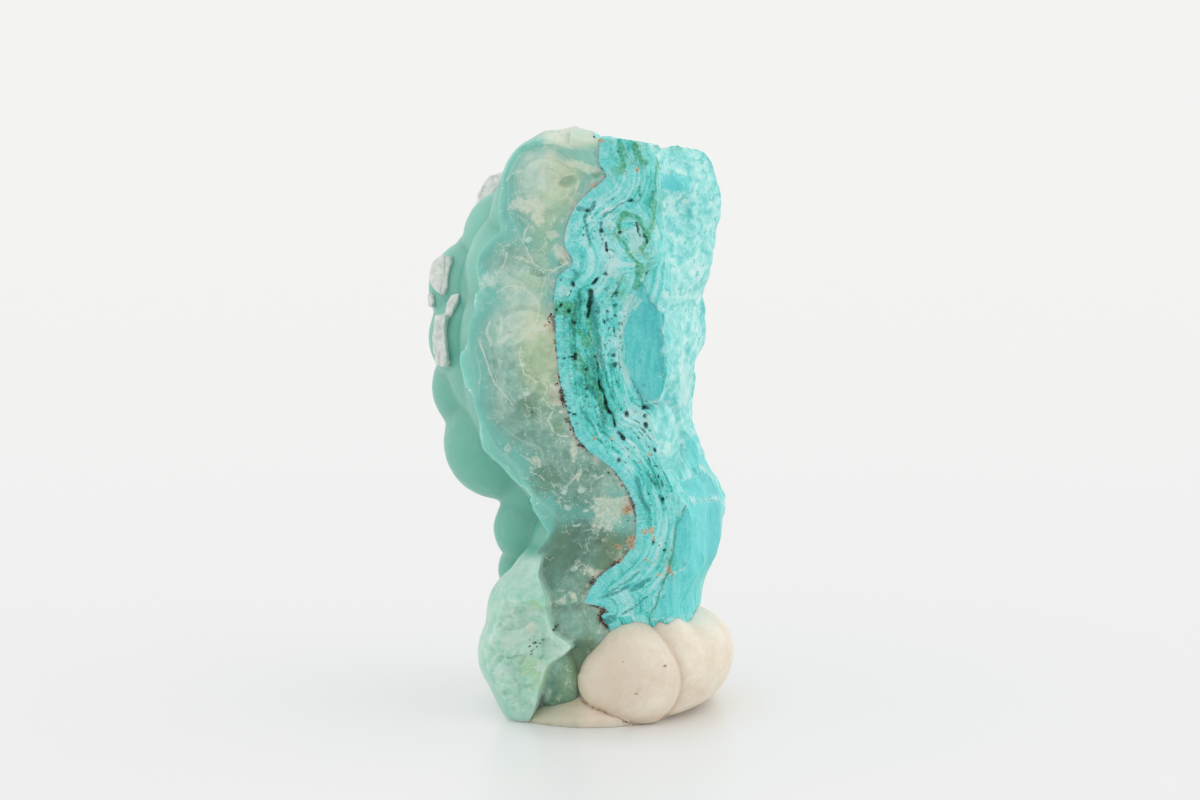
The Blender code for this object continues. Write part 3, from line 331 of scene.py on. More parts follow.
# The banded ring in the upper rock: its middle in the photograph, where it ends and starts, and how deep its
# middle is taken to lie in the bands, all three in millimetres.
RING_MIDDLE, RING_REACH, RING_DEPTH = (631, 238), (3.9, 2.5), 6.4

# Paler and deeper parts of the rock, as (column, row, half width, half height, turn, how much paler).
ROCK_SHADES = [(588, 232, 24, 40, 10, 0.7), (604, 500, 18, 34, 0, -0.9), (641, 300, 14, 22, 0, 0.6),
               (565, 310, 15, 26, 0, -0.9), (590, 352, 15, 60, -8, -0.8), (560, 400, 12, 30, 0, 0.3),
               (612, 400, 16, 40, -30, -0.5), (652, 415, 26, 20, 20, 0.7), (645, 500, 14, 44, 0, -0.6),
               (604, 588, 34, 14, -20, -0.1), (642, 560, 16, 30, 0, 0.3), (614, 182, 20, 22, 0, 0.4),
               (600, 262, 20, 12, 0, 0.4), (576, 380, 10, 40, -10, -0.3), (636, 442, 20, 22, -30, 0.9),
               (642, 230, 14, 26, 0, 0.6), (618, 150, 14, 10, 0, -0.5)]

# How much the tone may differ where the photograph doesn't show the crust.
HIDDEN_TONE = 0.4

# Tone zones of the crust are (column, row, half width, half height, turn, lighter, warmer).
TONE_ZONES = [(524, 148, 22, 14, -35, 0.6, 0.0), (509, 180, 8, 20, 35, -0.3, -0.3),
              (530, 164, 36, 30, -30, 0.8, 0.05), (566, 200, 26, 38, 20, 0.65, 0.65),
              (512, 305, 28, 34, 0, 0.8, 0.1), (541, 300, 18, 60, 0, 0.25, 0.5), (541, 356, 26, 30, 0, 0.3, 0.5),
              (498, 380, 16, 50, -12, 0.2, -0.2), (528, 440, 30, 40, -25, -0.35, -0.15),
              (572, 498, 40, 34, -35, -0.6, -0.25), (590, 548, 46, 34, -30, -0.65, 0.1),
              (620, 548, 16, 26, 20, -0.35, 0.7), (596, 600, 26, 30, 0, -0.3, 0.2),
              (575, 150, 34, 20, 0, 0.6, 0.6), (548, 400, 24, 30, -20, 0.05, 0.35),
              (612, 505, 24, 22, -35, 0.5, 0.15), (566, 690, 14, 34, 20, -0.35, 0.3),
              # The zone at column 584, row 655 is painted shade in the dark nook between the bulge and the putty
              # pad.
              (584, 655, 13, 17, 40, -1.2, 0.7), (560, 540, 20, 34, 10, -0.5, -0.1)]

# Dark grains: how many places are tried, their size, how far off the contact they lie (middle, spread, tail to the
# left) and which share is kept. Then rows of the photograph where they lie, and how thick they lie there.
GRAIN_SEED, GRAIN_TRIES, GRAIN_SIZE, GRAIN_HEIGHTS = 7, 5200, 0.10, (7, 59)
GRAIN_OFFSET, GRAIN_TAIL, GRAIN_SINK, GRAIN_SHARE = (-0.10, 0.13), 0.10, 0.02, 0.6
CONTACT_GRAINS = [(136, 150, 0.5), (150, 182, 0.12), (184, 192, 0.7), (204, 216, 0.2), (314, 334, 1.0),
                  (338, 352, 1.0), (352, 372, 0.3), (372, 400, 0.7), (400, 452, 0.8), (466, 482, 0.9),
                  (484, 518, 1.0), (520, 535, 0.3), (535, 556, 0.6), (560, 588, 1.0), (604, 634, 0.7)]

# The studio: a round white table whose glow leaves a soft oval shadow under the putty, a backdrop that rises round
# it as (radius, height) in metres, the sky, and wide suns as (name, strength, way).
ROUND_SIDES = 96
TABLE_RINGS = (0.02, 0.05, 0.1, 0.2, 0.35, 0.6, 1.0)
BACKDROP_RINGS = [(1.0, 0.0), (1.15, 0.02), (1.3, 0.09), (1.4, 0.22), (1.45, 0.5), (1.46, 1.6)]
SHADOW_MIDDLE, SHADOW_HALF = (5, -7), (11, 16)
SKY_COLOUR, SKY_STRENGTH = (0.98, 0.99, 1.0), 0.62
SUN_WIDTH = math.radians(90)
SUNS = [("left_window", 0.6, (0.85, 0.45, -0.6)), ("right_window", 1.15, (-0.95, 0.0, -0.42)),
        ("back_window", 0.55, (0.1, -0.9, -0.8))]


def smooth_line(points, at):
    """Reads a smooth curve through (position, value) points."""
    xs = np.array([p[0] for p in points], float)
    ys = np.array([p[1] for p in points], float)
    slopes = np.gradient(ys, xs)
    at = np.clip(at, xs[0], xs[-1])
    i = np.clip(np.searchsorted(xs, at) - 1, 0, len(xs) - 2)
    width = xs[i + 1] - xs[i]
    t = (at - xs[i]) / width
    return ((2 * t**3 - 3 * t**2 + 1) * ys[i] + (t**3 - 2 * t**2 + t) * width * slopes[i]
            + (3 * t**2 - 2 * t**3) * ys[i + 1] + (t**3 - t**2) * width * slopes[i + 1])


def step(edge0, edge1, value):
    """A soft step from 0 at the first edge to 1 at the second."""
    t = np.clip((value - edge0) / (edge1 - edge0), 0, 1)
    return t * t * (3 - 2 * t)


def places(x, y, z):
    """Points from three arrays or numbers, one row each."""
    return np.stack(np.broadcast_arrays(x, y, z), -1).reshape(-1, 3).astype(float)


def wave(x, y, z):
    """The soft noise that the part's source uses."""
    shape = np.broadcast(x, y, z).shape
    return np.array([noise.noise(p) for p in places(x, y, z).tolist()]).reshape(shape)


def chip(x, y, z, size):
    """Shallow hollows that meet in sharp ridges, as broken rock has: 0 at the deepest, and about 1 on a ridge."""
    shape = np.broadcast(x, y, z).shape
    at = places(x, y, z) / size
    large = np.array([noise.voronoi(p)[0][0] for p in at.tolist()])
    small = np.array([noise.voronoi(p)[0][0] for p in (at * 2.3 + 5).tolist()])
    return (np.minimum(1.2, large**2 * 1.6) + 0.35 * np.minimum(1.2, small**2 * 1.6)).reshape(shape)


def scatter(cells, seed):
    """A fixed random share for each whole-numbered place."""
    cells = cells.astype(np.int64)
    h = (cells[..., 0] * 73856093) ^ (cells[..., 1] * 19349663) ^ (cells[..., 2] * 83492791) ^ (seed * 2654435761)
    h = ((h ^ (h >> 13)) * 1274126177) & 0xFFFFFFFF
    h = ((h ^ (h >> 16)) * 2246822519) & 0xFFFFFFFF
    return ((h ^ (h >> 15)) & 0xFFFFFF) / 0xFFFFFF


def grain(points, size, seed):
    """Soft fine noise from -1 to 1 at points, with features of about this size, which may differ by axis."""
    at = points / np.asarray(size, float)
    low = np.floor(at)
    t = at - low
    t = t * t * (3 - 2 * t)
    total = np.zeros(len(points))
    for corner in range(8):
        bits = np.array([corner & 1, corner >> 1 & 1, corner >> 2 & 1])
        weight = np.prod(np.where(bits, t, 1 - t), axis=1)
        total += weight * scatter(low + bits, seed)
    return total * 2 - 1


def rough_grain(points, size, seed, turns=3):
    """Fine noise with finer noise on it."""
    size = np.asarray(size, float)
    total = sum(grain(points, size / 2**i, seed + i) / 2**i for i in range(turns))
    return total / sum(1 / 2**i for i in range(turns))


def cells(points, size, seed):
    """Distance to the nearest and next of scattered middles, as shares of the size, and the nearest's own number."""
    at = points / np.asarray(size, float)
    low = np.floor(at)
    first, second = np.full(len(at), 9.0), np.full(len(at), 9.0)
    own = np.zeros(len(at))
    for offset in np.ndindex(3, 3, 3):
        cell = low + np.array(offset) - 1
        middle = cell + np.stack([scatter(cell, seed + k) for k in range(3)], -1)
        distance = np.linalg.norm(at - middle, axis=1)
        nearer = distance < first
        second = np.where(nearer, first, np.minimum(second, distance))
        own = np.where(nearer, scatter(cell, seed + 7), own)
        first = np.where(nearer, distance, first)
    return first, second, own


def photo_place(points):
    """The column and row at which the camera of the photograph sees each point."""
    up = np.array((0, math.sin(VIEW_ELEVATION), math.cos(VIEW_ELEVATION)))
    ahead = np.array((0, math.cos(VIEW_ELEVATION), -math.sin(VIEW_ELEVATION)))
    eye = np.array((0, 0, VIEW_HEIGHT)) - ahead * VIEW_DISTANCE
    away = points - eye
    far = away @ ahead * VIEW_SLOPE_PER_PIXEL
    return PHOTO_MIDDLE[0] + away[:, 0] / far, PHOTO_MIDDLE[1] - away @ up / far


def photo_ray(column, row):
    """The camera's place and the way that a pixel of the photograph points, in millimetres."""
    up = Vector((0, math.sin(VIEW_ELEVATION), math.cos(VIEW_ELEVATION)))
    ahead = Vector((0, math.cos(VIEW_ELEVATION), -math.sin(VIEW_ELEVATION)))
    eye = Vector((0, 0, VIEW_HEIGHT)) - ahead * VIEW_DISTANCE
    across = (column - PHOTO_MIDDLE[0]) * VIEW_SLOPE_PER_PIXEL
    rise = (PHOTO_MIDDLE[1] - row) * VIEW_SLOPE_PER_PIXEL
    return eye, (ahead + Vector((1, 0, 0)) * across + up * rise).normalized()


def to_path(column, row, path):
    """Distance from each place to a path of straight parts, and how far along the path its nearest point is."""
    nearest, along, gone = np.full(len(column), 1e9), np.zeros(len(column)), 0.0
    for (c0, r0), (c1, r1) in zip(path, path[1:]):
        length = math.hypot(c1 - c0, r1 - r0)
        share = np.clip(((column - c0) * (c1 - c0) + (row - r0) * (r1 - r0)) / length**2, 0, 1)
        distance = np.hypot(column - c0 - share * (c1 - c0), row - r0 - share * (r1 - r0))
        nearer = distance < nearest
        nearest = np.where(nearer, distance, nearest)
        along = np.where(nearer, gone + share * length, along)
        gone += length
    return nearest, along


def spot_field(column, row, spots):
    """1 in the middle of an oval spot, 0 at its border and down to -1 outside: the materials cut it to shape."""
    share = np.full(len(column), -1.0)
    for middle, level, wide, *more in spots:
        tall, turn = (*more, 0)[:2] if more else (wide, 0)
        c, s = math.cos(math.radians(turn)), math.sin(math.radians(turn))
        across, down = column - middle, row - level
        share = np.maximum(share, 1 - np.hypot((across * c + down * s) / wide, (down * c - across * s) / tall))
    return share


def in_spots(column, row, spots, soft=0.35):
    """How far each place lies inside one of the oval spots."""
    return step(-soft, soft, spot_field(column, row, spots))


def stroke_field(column, row, strokes):
    """1 along the middle of a stroke, 0 at its border and down to -1 outside."""
    share = np.full(len(column), -1.0)
    for width, path in strokes:
        distance, _ = to_path(column, row, path)
        share = np.maximum(share, 1 - distance / max(width / 2, 0.9))
    return share


def in_outline(column, row, outline):
    """How many pixels each place lies inside a closed outline, less than 0 outside."""
    distance, _ = to_path(column, row, outline + outline[:1])
    inside = np.zeros(len(column), bool)
    for (c0, r0), (c1, r1) in zip(outline, outline[1:] + outline[:1]):
        crossing = (r0 > row) != (r1 > row)
        at = c0 + (row - r0) * (c1 - c0) / (r1 - r0 if r1 != r0 else 1e-9)
        inside ^= crossing & (column < at)
    return np.where(inside, distance, -distance)


def ragged(points, column, row):
    """Places in the photograph, pushed about a little, so that the marks on them get natural borders."""
    push = [sum(reach * grain(points, size, seed + i) for reach, size, seed in RAGGED) for i in range(2)]
    return column + push[0], row + push[1]


def contact_x(y, z):
    """Where crust meets rock, at a place behind the section."""
    behind = step(2, STONE_DEPTH, y)
    bow = -CONTACT_BOW * np.sin(np.pi * np.clip(y / STONE_DEPTH, 0, 1))
    ripple = CONTACT_RIPPLE * wave(3.1, y / CONTACT_RIPPLE_SIZE, z / CONTACT_RIPPLE_SIZE) * step(1, 7, y)
    return smooth_line(CONTACT_FRONT, z) * (1 - behind) + smooth_line(CONTACT_BACK, z) * behind + bow + ripple


def into_rock(points):
    """How far each point lies beyond the contact, square to it, and how far along it, both in millimetres.
    Inside the crust the first number is less than 0."""
    y, z = points[:, 1], points[:, 2]
    levels = np.linspace(-6, 66, CONTACT_LEVELS)
    line = list(zip(smooth_line(CONTACT_FRONT, levels).tolist(), levels.tolist()))
    front = smooth_line(CONTACT_FRONT, z)
    x = points[:, 0] - (contact_x(y, z) - front)
    distance, along = to_path(x, z, line)
    return distance * np.where(x > front, 1, -1), along


def front_edge_x(z):
    """The jagged upright edge where the section turns into the stone's right side."""
    return smooth_line(FRONT_EDGE, z) + EDGE_WANDER * wave(0, 8, z / EDGE_WANDER_SIZE)


def in_oval(x, z, middle, half):
    """1 in the middle of an oval, falling to 0 at its border and less outside."""
    return 1 - ((x - middle[0]) / half[0]) ** 2 - ((z - middle[1]) / half[1]) ** 2


def bulge_share(x, z):
    """1 on the bulge that stands proud at the foot of the section."""
    return (step(-LEDGE_HALF_WIDTH, LEDGE_HALF_WIDTH, smooth_line(LEDGE, z) - x)
            * step(BULGE_TOP, BULGE_TOP - BULGE_TOP_FADE, z))


def section_y(x, z):
    """The broken front: the section, the bulge at its foot and the side that falls back on the right."""
    contact = smooth_line(CONTACT_FRONT, z)
    edge = front_edge_x(z)
    beyond = np.maximum(0, x - edge) / np.maximum(smooth_line(BLOCK_RIGHT, z) - edge, SIDE_LEAST)
    y = SECTION_FALL * step(0, SECTION_FALL_WIDTH, contact - x) + SIDE_FALL * beyond**SIDE_CURVE
    y -= LIP_STAND * np.exp(-(((x - contact - LIP_OFFSET) / LIP_WIDTH) ** 2))
    for middle, half, depth in SCOOPS:
        y += depth * np.maximum(0, in_oval(x, z, middle, half))
    bulge = bulge_share(x, z)
    middle, half, stand = FOOT_LOBE
    y -= (1 - bulge) * stand * np.sqrt(np.maximum(0, in_oval(x, z, middle, half)))
    y -= bulge * (BULGE_STAND + BULGE_WAVE * np.sin(z * BULGE_WAVE_RATE) * step(-12, -6, x))
    rough = SECTION_ROUGH + CHIP_RELIEF * step(0, 0.5, beyond)
    y += rough * (0.6 - chip(x, 0, z, CHIP_SIZE))
    y += SECTION_WAVE * wave(x / SECTION_WAVE_SIZE, 0, z / SECTION_WAVE_SIZE)
    return y, beyond


def layered(points, layers):
    """Fine noise in layers given as (depth, size, seed)."""
    return sum(depth * rough_grain(points, size, seed) for depth, size, seed in layers)


def chipped(points, size, seed, tilt, groove, width):
    """Small chips at different heights, with grooves between them."""
    first, second, own = cells(points, size, seed)
    return tilt * (own - 0.5) - groove * (width - np.minimum(second - first, width))


def facets_at(column, row, c, r):
    """How many pixels each place lies inside each smooth facet, whose borders are a little ragged."""
    near_c, near_r = column + FACET_RAGGED * (c - column), row + FACET_RAGGED * (r - row)
    return [in_outline(near_c, near_r, outline) for outline in FACET_OUTLINES]


def section_relief(x, y, z, beyond):
    """The fine relief of the broken front, as how much deeper than the plain break each place is."""
    points = places(x, y, z)
    column, row = photo_place(points)
    c, r = ragged(points, column, row)
    rock, along = into_rock(points)
    side = step(0.02, 0.3, beyond.ravel())
    facets = facets_at(column, row, c, r)
    smooth = step(-1.5, 1.5, np.max(facets, axis=0))
    banding = layered(np.stack([rock, along, points[:, 1]], -1), BANDING)
    side_chips = SIDE_CHIP_SHARE * chipped(points, *SECTION_CHIPS) + layered(points, SIDE_GRAIN)
    on_rock = (1 - 0.9 * smooth) * (banding * (1 - side) + layered(points, BLOCKY))
    on_rock += (1 - smooth) * side * side_chips + smooth * layered(points * (1, 1, 0.2), FACET_GRAIN)
    for inside, sink in zip(facets, FACET_SINK):
        on_rock += sink * step(-1.2, 1.2, inside)
    for middle, level, radius, depth in PITS:
        on_rock += depth * (1 - step(0.4, 1.25, np.hypot(c - middle, r - level) / radius))
    for width, depth, path in FISSURES + CRACKS:
        on_rock += depth * (1 - step(0.35, 1.2, to_path(c, r, path)[0] / (width / 2)))
    small, _, chance = cells(points, PORE_SIZE, 72)
    porous = in_spots(c, r, PORE_ZONES, 0.8) * step(0.3, 1.0, rock) * (1 - smooth)
    on_rock += PORE_DEPTH * step(0.34, 0.14, small) * step(0.90, 0.97, chance + 0.3 * porous) * (1 - side)
    waxy, _, tilt = cells(points, WAXY_FACET_SIZE, 63)
    on_crust = WAXY_FACET_TILT * (tilt - 0.5) * step(0.75, 0.35, waxy) + layered(points, WAXY_GRAIN)
    on_crust -= VEIN_STAND * step(0, 1, stroke_field(c, r, STROKES["vein"]))
    shaken = points + 0.4 * rough_grain(points, 1.0, 78)[:, None]
    craggy = chipped(shaken, *BULGE_CHIPS) + layered(points, BULGE_GRAIN)
    is_rock = step(-0.05, 0.05, rock)
    deeper = is_rock * on_rock + (1 - is_rock) * on_crust + bulge_share(points[:, 0], points[:, 2]) * craggy
    return deeper.reshape(x.shape)


def summit_z(x, y):
    """The broken top of the rock, which falls away to the back and the right, and the crust's dome beside it."""
    shoulder = np.maximum(x - SHOULDER_START, 0) / SHOULDER_WIDTH
    top = TOP_HEIGHT - TOP_SLOPE * y - TOP_BEND * y * y - TOP_STEP * step(1, 5, x)
    top -= SHOULDER_DROP * shoulder**SHOULDER_CURVE
    inside = in_oval(x, y, DOME_MIDDLE, DOME_HALF)
    dome = np.where(inside > 0, DOME_BASE + DOME_RISE * np.sqrt(np.maximum(0, inside)), 0)
    rough = CHIP_RELIEF * (chip(x, y, 70, CHIP_SIZE) - 0.7) * step(0, 6, y)
    return np.maximum(top + rough, dome) + TOP_CLEARANCE * step(-4.4, -5.6, x)


def back_y(x, z):
    """The broken back of the rock and of the crust beside it."""
    rough = BACK_ROUGH * CHIP_RELIEF * (chip(x, 90, z, CHIP_SIZE) - 0.7)
    return STONE_DEPTH + BACK_SETBACK - BACK_LEAN * step(38, 62, z) + BACK_CLEARANCE * step(-7, -11, x) + rough


def foot_z(x, y):
    """The underside: the crust's foot at the front left reaches the floor, and the rest is lifted clear."""
    lift = FOOT_LIFT * step(-3.2, 1.2, x) + FOOT_RIGHT_LIFT * step(4, 9, x)
    lift += FOOT_SLOPE * np.maximum(0, y - FOOT_SLOPE_START)
    return FOOT_BASE + lift + FOOT_ROUGH * step(-6, 2, x) * (0.7 - chip(x, y, 5, CHIP_SIZE))


def link_object(name, data):
    """An object for a mesh, light or camera, linked to the scene."""
    thing = bpy.data.objects.new(name, data)
    bpy.context.scene.collection.objects.link(thing)
    return thing


def new_object(name, vertices, faces):
    """A mesh object from millimetre points."""
    mesh = bpy.data.meshes.new(name)
    mesh.from_pydata((np.asarray(vertices, float) * MM).tolist(), [], faces)
    return link_object(name, mesh)


def object_of(name, shape):
    """An object from an edit mesh, which is closed."""
    mesh = bpy.data.meshes.new(name)
    shape.to_mesh(mesh)
    shape.free()
    return link_object(name, mesh)


@contextmanager
def edited(thing):
    """An object's mesh, open for editing and put back at the end."""
    shape = bmesh.new()
    shape.from_mesh(thing.data)
    yield shape
    shape.to_mesh(thing.data)
    shape.free()


def points_of(thing):
    """A mesh's vertices in millimetres."""
    co = np.empty(len(thing.data.vertices) * 3, np.float32)
    thing.data.vertices.foreach_get("co", co)
    return co.reshape(-1, 3).astype(float) / MM


def move_points(thing, points):
    """Puts a mesh's vertices at these places, in millimetres."""
    thing.data.vertices.foreach_set("co", (points * MM).astype(np.float32).ravel())
    thing.data.update()


def outward(thing):
    """Turns a closed mesh's faces outwards."""
    with edited(thing) as shape:
        bmesh.ops.recalc_face_normals(shape, faces=shape.faces)
        if shape.calc_volume(signed=True) < 0:
            bmesh.ops.reverse_faces(shape, faces=shape.faces)


def closed_sheet(name, sheet, far, mark):
    """A thick slab from a curved sheet of points, back to a flat side that has its rim alone."""
    rows, columns = sheet.shape[:2]
    index = np.arange(rows * columns).reshape(rows, columns)
    corners = np.stack([index[:-1, :-1], index[:-1, 1:], index[1:, 1:], index[1:, :-1]], -1).reshape(-1, 4)
    rim = np.concatenate([index[0, :], index[1:, -1], index[-1, -2::-1], index[-2:0:-1, 0]]).tolist()
    flat = sheet.reshape(-1, 3)
    behind = flat[rim].copy()
    for axis, value in enumerate(far):
        if value is not None:
            behind[:, axis] = value
    start = len(flat)
    faces = corners.tolist()
    faces += [[rim[i], start + i, start + (i + 1) % len(rim), rim[(i + 1) % len(rim)]] for i in range(len(rim))]
    faces.append(list(range(start, start + len(rim))))
    slab = new_object(name, np.vstack([flat, behind]), faces)
    for _ in range(mark + 1):
        slab.data.materials.append(None)
    slab.data.polygons.foreach_set("material_index", np.full(len(slab.data.polygons), mark, np.int32))
    outward(slab)
    return slab


def settle(thing):
    """Keeps what an object's modifiers make of it, as its mesh."""
    made = bpy.data.meshes.new_from_object(thing.evaluated_get(bpy.context.evaluated_depsgraph_get()))
    thing.modifiers.clear()
    old, thing.data = thing.data, made
    bpy.data.meshes.remove(old)


def remesh(thing, voxel):
    """Makes joined shapes one skin."""
    skin = thing.modifiers.new("skin", "REMESH")
    skin.mode = "VOXEL"
    skin.voxel_size = voxel * MM
    settle(thing)


def cut(thing, cutter, keep_cutter=False):
    """Takes the cutter's space out of a solid. New faces keep the cutter's material number."""
    bite = thing.modifiers.new("cut", "BOOLEAN")
    bite.operation = "DIFFERENCE"
    bite.solver = "MANIFOLD"
    bite.material_mode = "INDEX"
    bite.object = cutter
    settle(thing)
    if not keep_cutter:
        bpy.data.objects.remove(cutter)


def largest_piece(thing):
    """Drops crumbs that a cut has left beside the main body."""
    with edited(thing) as shape:
        left = set(shape.verts)
        bodies = []
        while left:
            body, edge = set(), [left.pop()]
            while edge:
                vertex = edge.pop()
                body.add(vertex)
                for link in vertex.link_edges:
                    other = link.other_vert(vertex)
                    if other in left:
                        left.discard(other)
                        edge.append(other)
            bodies.append(body)
        bodies.sort(key=len)
        bmesh.ops.delete(shape, geom=[v for body in bodies[:-1] for v in body], context="VERTS")


def copy_of(thing, name):
    """A copy with a mesh of its own."""
    return link_object(name, thing.data.copy())


def block_ring(z, columns):
    """One level outline of the stone's inner block, which is shallower near the floor and the top."""
    left, right = float(smooth_line(BLOCK_LEFT, z)), float(smooth_line(BLOCK_RIGHT, z))
    low, high = float(step(2, 14, z)), float(step(58, 44, z))
    depth = STONE_DEPTH * (0.62 + 0.38 * low) * (0.84 + 0.16 * high)
    start = 1.5 + 2.0 * (1 - high)
    plan = BLOCK_PLAN + BLOCK_PLAN[:1]
    at = np.linspace(0, len(plan) - 1, columns, endpoint=False)
    across, back = (smooth_line([(turn, place[axis]) for turn, place in enumerate(plan)], at) for axis in range(2))
    return np.stack([left + (right - left) * across, start + depth * back, np.full(columns, z)], -1)


def stone_block():
    """The inner block: level outlines joined from the floor to above the top, with chipped sides."""
    columns, levels = BLOCK_COLUMNS, np.linspace(-1, 61, BLOCK_LEVELS)
    rings = np.concatenate([block_ring(float(z), columns) for z in levels])
    out = rings - np.stack([np.zeros(len(rings)), np.full(len(rings), STONE_DEPTH / 2), rings[:, 2]], -1)
    out /= np.linalg.norm(out, axis=1)[:, None]
    lift = CHIP_RELIEF * (chip(*rings.T, CHIP_SIZE) - 0.6)
    lift = lift + chipped(rings, *BLOCK_CHIPS) + layered(rings, BLOCK_GRAIN)
    rings += out * lift[:, None]
    faces = [[row + j, row + (j + 1) % columns, row + columns + (j + 1) % columns, row + columns + j]
             for row in range(0, (len(levels) - 1) * columns, columns) for j in range(columns)]
    faces.append([columns - 1 - j for j in range(columns)])
    faces.append([(len(levels) - 1) * columns + j for j in range(columns)])
    block = new_object("stone_block", rings, faces)
    outward(block)
    return block


def back_lobes():
    """Lobes over the hidden left and back of the crust, in rows that step round the block."""
    dice = random.Random(BACK_SEED)
    lobes = []
    for row in range(BACK_LOBE_ROWS):
        for turn in range(BACK_LOBE_TURNS):
            z = BACK_LOBE_LOWEST + row * BACK_LOBE_RISE + BACK_LOBE_STAGGER * (turn % 2)
            z = z + dice.uniform(-BACK_LOBE_WANDER, BACK_LOBE_WANDER)
            ring = block_ring(z, 200)
            share = BACK_LOBE_START - BACK_LOBE_STEP * (turn + 0.5 * (row % 2))
            share = share + dice.uniform(-BACK_LOBE_SHIFT, BACK_LOBE_SHIFT)
            place = Vector(ring[int(share * len(ring))])
            inward = (Vector((0, STONE_DEPTH / 2, z)) - place).normalized()
            radius = dice.uniform(*BACK_LOBE_RADIUS)
            middle = place + inward * (BACK_LOBE_SINK + 0.6 * (radius - BACK_LOBE_RADIUS[0]))
            lobes.append((*middle, radius))
    return lobes


LOBES = np.array(SECTION_LOBES + SUMMIT_LOBES + SIDE_LOBES + BULGE_LOBES + back_lobes())


def lobe_field(points):
    """Distance outside the lobes' joined skin, the way out of it, and how close to a crease each point is."""
    away = points[:, None, :] - LOBES[None, :, :3]
    reach = np.linalg.norm(away, axis=2)
    distance = reach - LOBES[None, :, 3]
    nearest = distance.min(axis=1)
    weight = np.exp(-(distance - nearest[:, None]) / CREASE_ROUNDING)
    total = weight.sum(axis=1)
    out = (away / np.maximum(reach, 1e-6)[..., None] * weight[..., None]).sum(axis=1) / total[:, None]
    two = np.partition(distance, 1, axis=1)[:, :2]
    return nearest - CREASE_ROUNDING * np.log(total), out, two[:, 1] - two[:, 0]


def stone_blank():
    """The whole stone, crust and rock in one, before it was broken to shape."""
    blank = stone_block()
    with edited(blank) as shape:
        for x, y, z, radius in LOBES.tolist():
            place = Matrix.Translation(Vector((x, y, z)) * MM)
            bmesh.ops.create_icosphere(shape, subdivisions=4, radius=radius * MM, matrix=place)
    remesh(blank, SKIN_VOXEL)
    points = points_of(blank)
    for _ in range(SKIN_FIT_TURNS):
        distance, out, _ = lobe_field(points)
        near = step(*SKIN_FIT_REACH, np.abs(distance))
        length = np.maximum((out**2).sum(axis=1), 0.2)
        points -= out * (distance * near / length)[:, None]
    dimple = sum(depth * grain(points, size, seed) for depth, size, seed in LOBE_DIMPLES)
    distance, out, _ = lobe_field(points)
    points += out * (dimple * step(0.5, 0.2, np.abs(distance)))[:, None]
    move_points(blank, points)
    for _ in range(len(BREAKS) + 1):
        blank.data.materials.append(None)
    return blank


def spread(stops):
    """Places between stops given as (start, count to the next), for whole rows at once."""
    lines = []
    for (start, count), (end, _) in zip(stops, stops[1:]):
        start, end = np.asarray(start, float), np.asarray(end, float)
        lines += [start + (end - start) * i / count for i in range(count)]
    lines.append(np.asarray(stops[-1][0], float))
    return np.stack(np.broadcast_arrays(*lines), -1)


def front_break():
    """The broken front with its bands, pits and cracks, on a grid that follows the ledge, the contact and edge."""
    up = np.concatenate([[-4, -2.5], np.arange(-1.2, 60.8, SECTION_ROW), [62, 64, 66]])
    ledge, contact = smooth_line(LEDGE, up), smooth_line(CONTACT_FRONT, up)
    edge, right = front_edge_x(up), smooth_line(BLOCK_RIGHT, up)
    stops = [(np.full(len(up), -24.0), 2), (-15, 52), (ledge - 0.5, 10), (ledge + 0.5, 56), (contact - 0.3, 4),
             (contact + 0.3, 66), (edge - 0.3, 6), (edge + 0.3, 42),
             (np.maximum(right, edge + 3) + 0.5, 2), (24, 0)]
    x = spread(stops)
    z = np.broadcast_to(up[:, None], x.shape)
    y, beyond = section_y(x, z)
    y = y + section_relief(x, y, z, beyond)
    return closed_sheet("front_break", np.stack([x, y, z], -1), (None, -14, None), FRONT)


def rock_relief(x, y, z, seed):
    """Chips and grain of the rock's other breaks."""
    points = places(x, y, z)
    rough = layered(points, [(0.18, 1.3, seed + 9), (0.05, 0.45, seed + 12)])
    return (chipped(points, 2.4, seed, 0.5, 0.15, 0.4) + rough).reshape(x.shape)


def break_sheets():
    """The broken back, top and foot."""
    up, across, deep = np.arange(-4, 66, 0.4), np.arange(-24, 24.1, 0.4), np.arange(-14, 48, 0.4)
    x, z = np.meshgrid(across, up)
    y = back_y(x, z)
    y += rock_relief(x, y, z, 101)
    back = closed_sheet("back_break", np.stack([x, y, z], -1), (None, 60, None), BACK)
    x, y = np.meshgrid(across, deep)
    z = summit_z(x, y)
    z += rock_relief(x, y, z, 121) * (0.35 + 0.65 * step(0, 5, y))
    top = closed_sheet("top_break", np.stack([x, y, z], -1), (None, None, 76), TOP)
    z = foot_z(x, y)
    z += rock_relief(x, y, z, 141) * step(-6, 0, x)
    foot = closed_sheet("foot_break", np.stack([x, y, z], -1), (None, None, -12), FOOT)
    return back, top, foot


def contact_cutter(name, side):
    """All the space on one side of the contact, held off it by a hair: side is -1 for the left."""
    y, z = np.meshgrid(np.concatenate([np.arange(-6, 6, 0.3), np.arange(6, 44, 0.8)]), np.arange(-5, 67, 0.3))
    x = contact_x(y, z)
    x = x + layered(places(x, y, z), CONTACT_GRAIN).reshape(x.shape) - side * CONTACT_PLAY / 2
    return closed_sheet(name, np.stack([x, y, z], -1), (side * 40, None, None), CONTACT)


def set_attribute(thing, name, values):
    """Keeps a number for each vertex, for the materials to read."""
    kept = thing.data.attributes.new(name, "FLOAT", "POINT")
    kept.data.foreach_set("value", np.asarray(values, np.float32))


def set_vectors(thing, name, values):
    """Keeps three numbers for each vertex, for the materials to read."""
    kept = thing.data.attributes.new(name, "FLOAT_VECTOR", "POINT")
    kept.data.foreach_set("vector", np.asarray(values, np.float32).ravel())


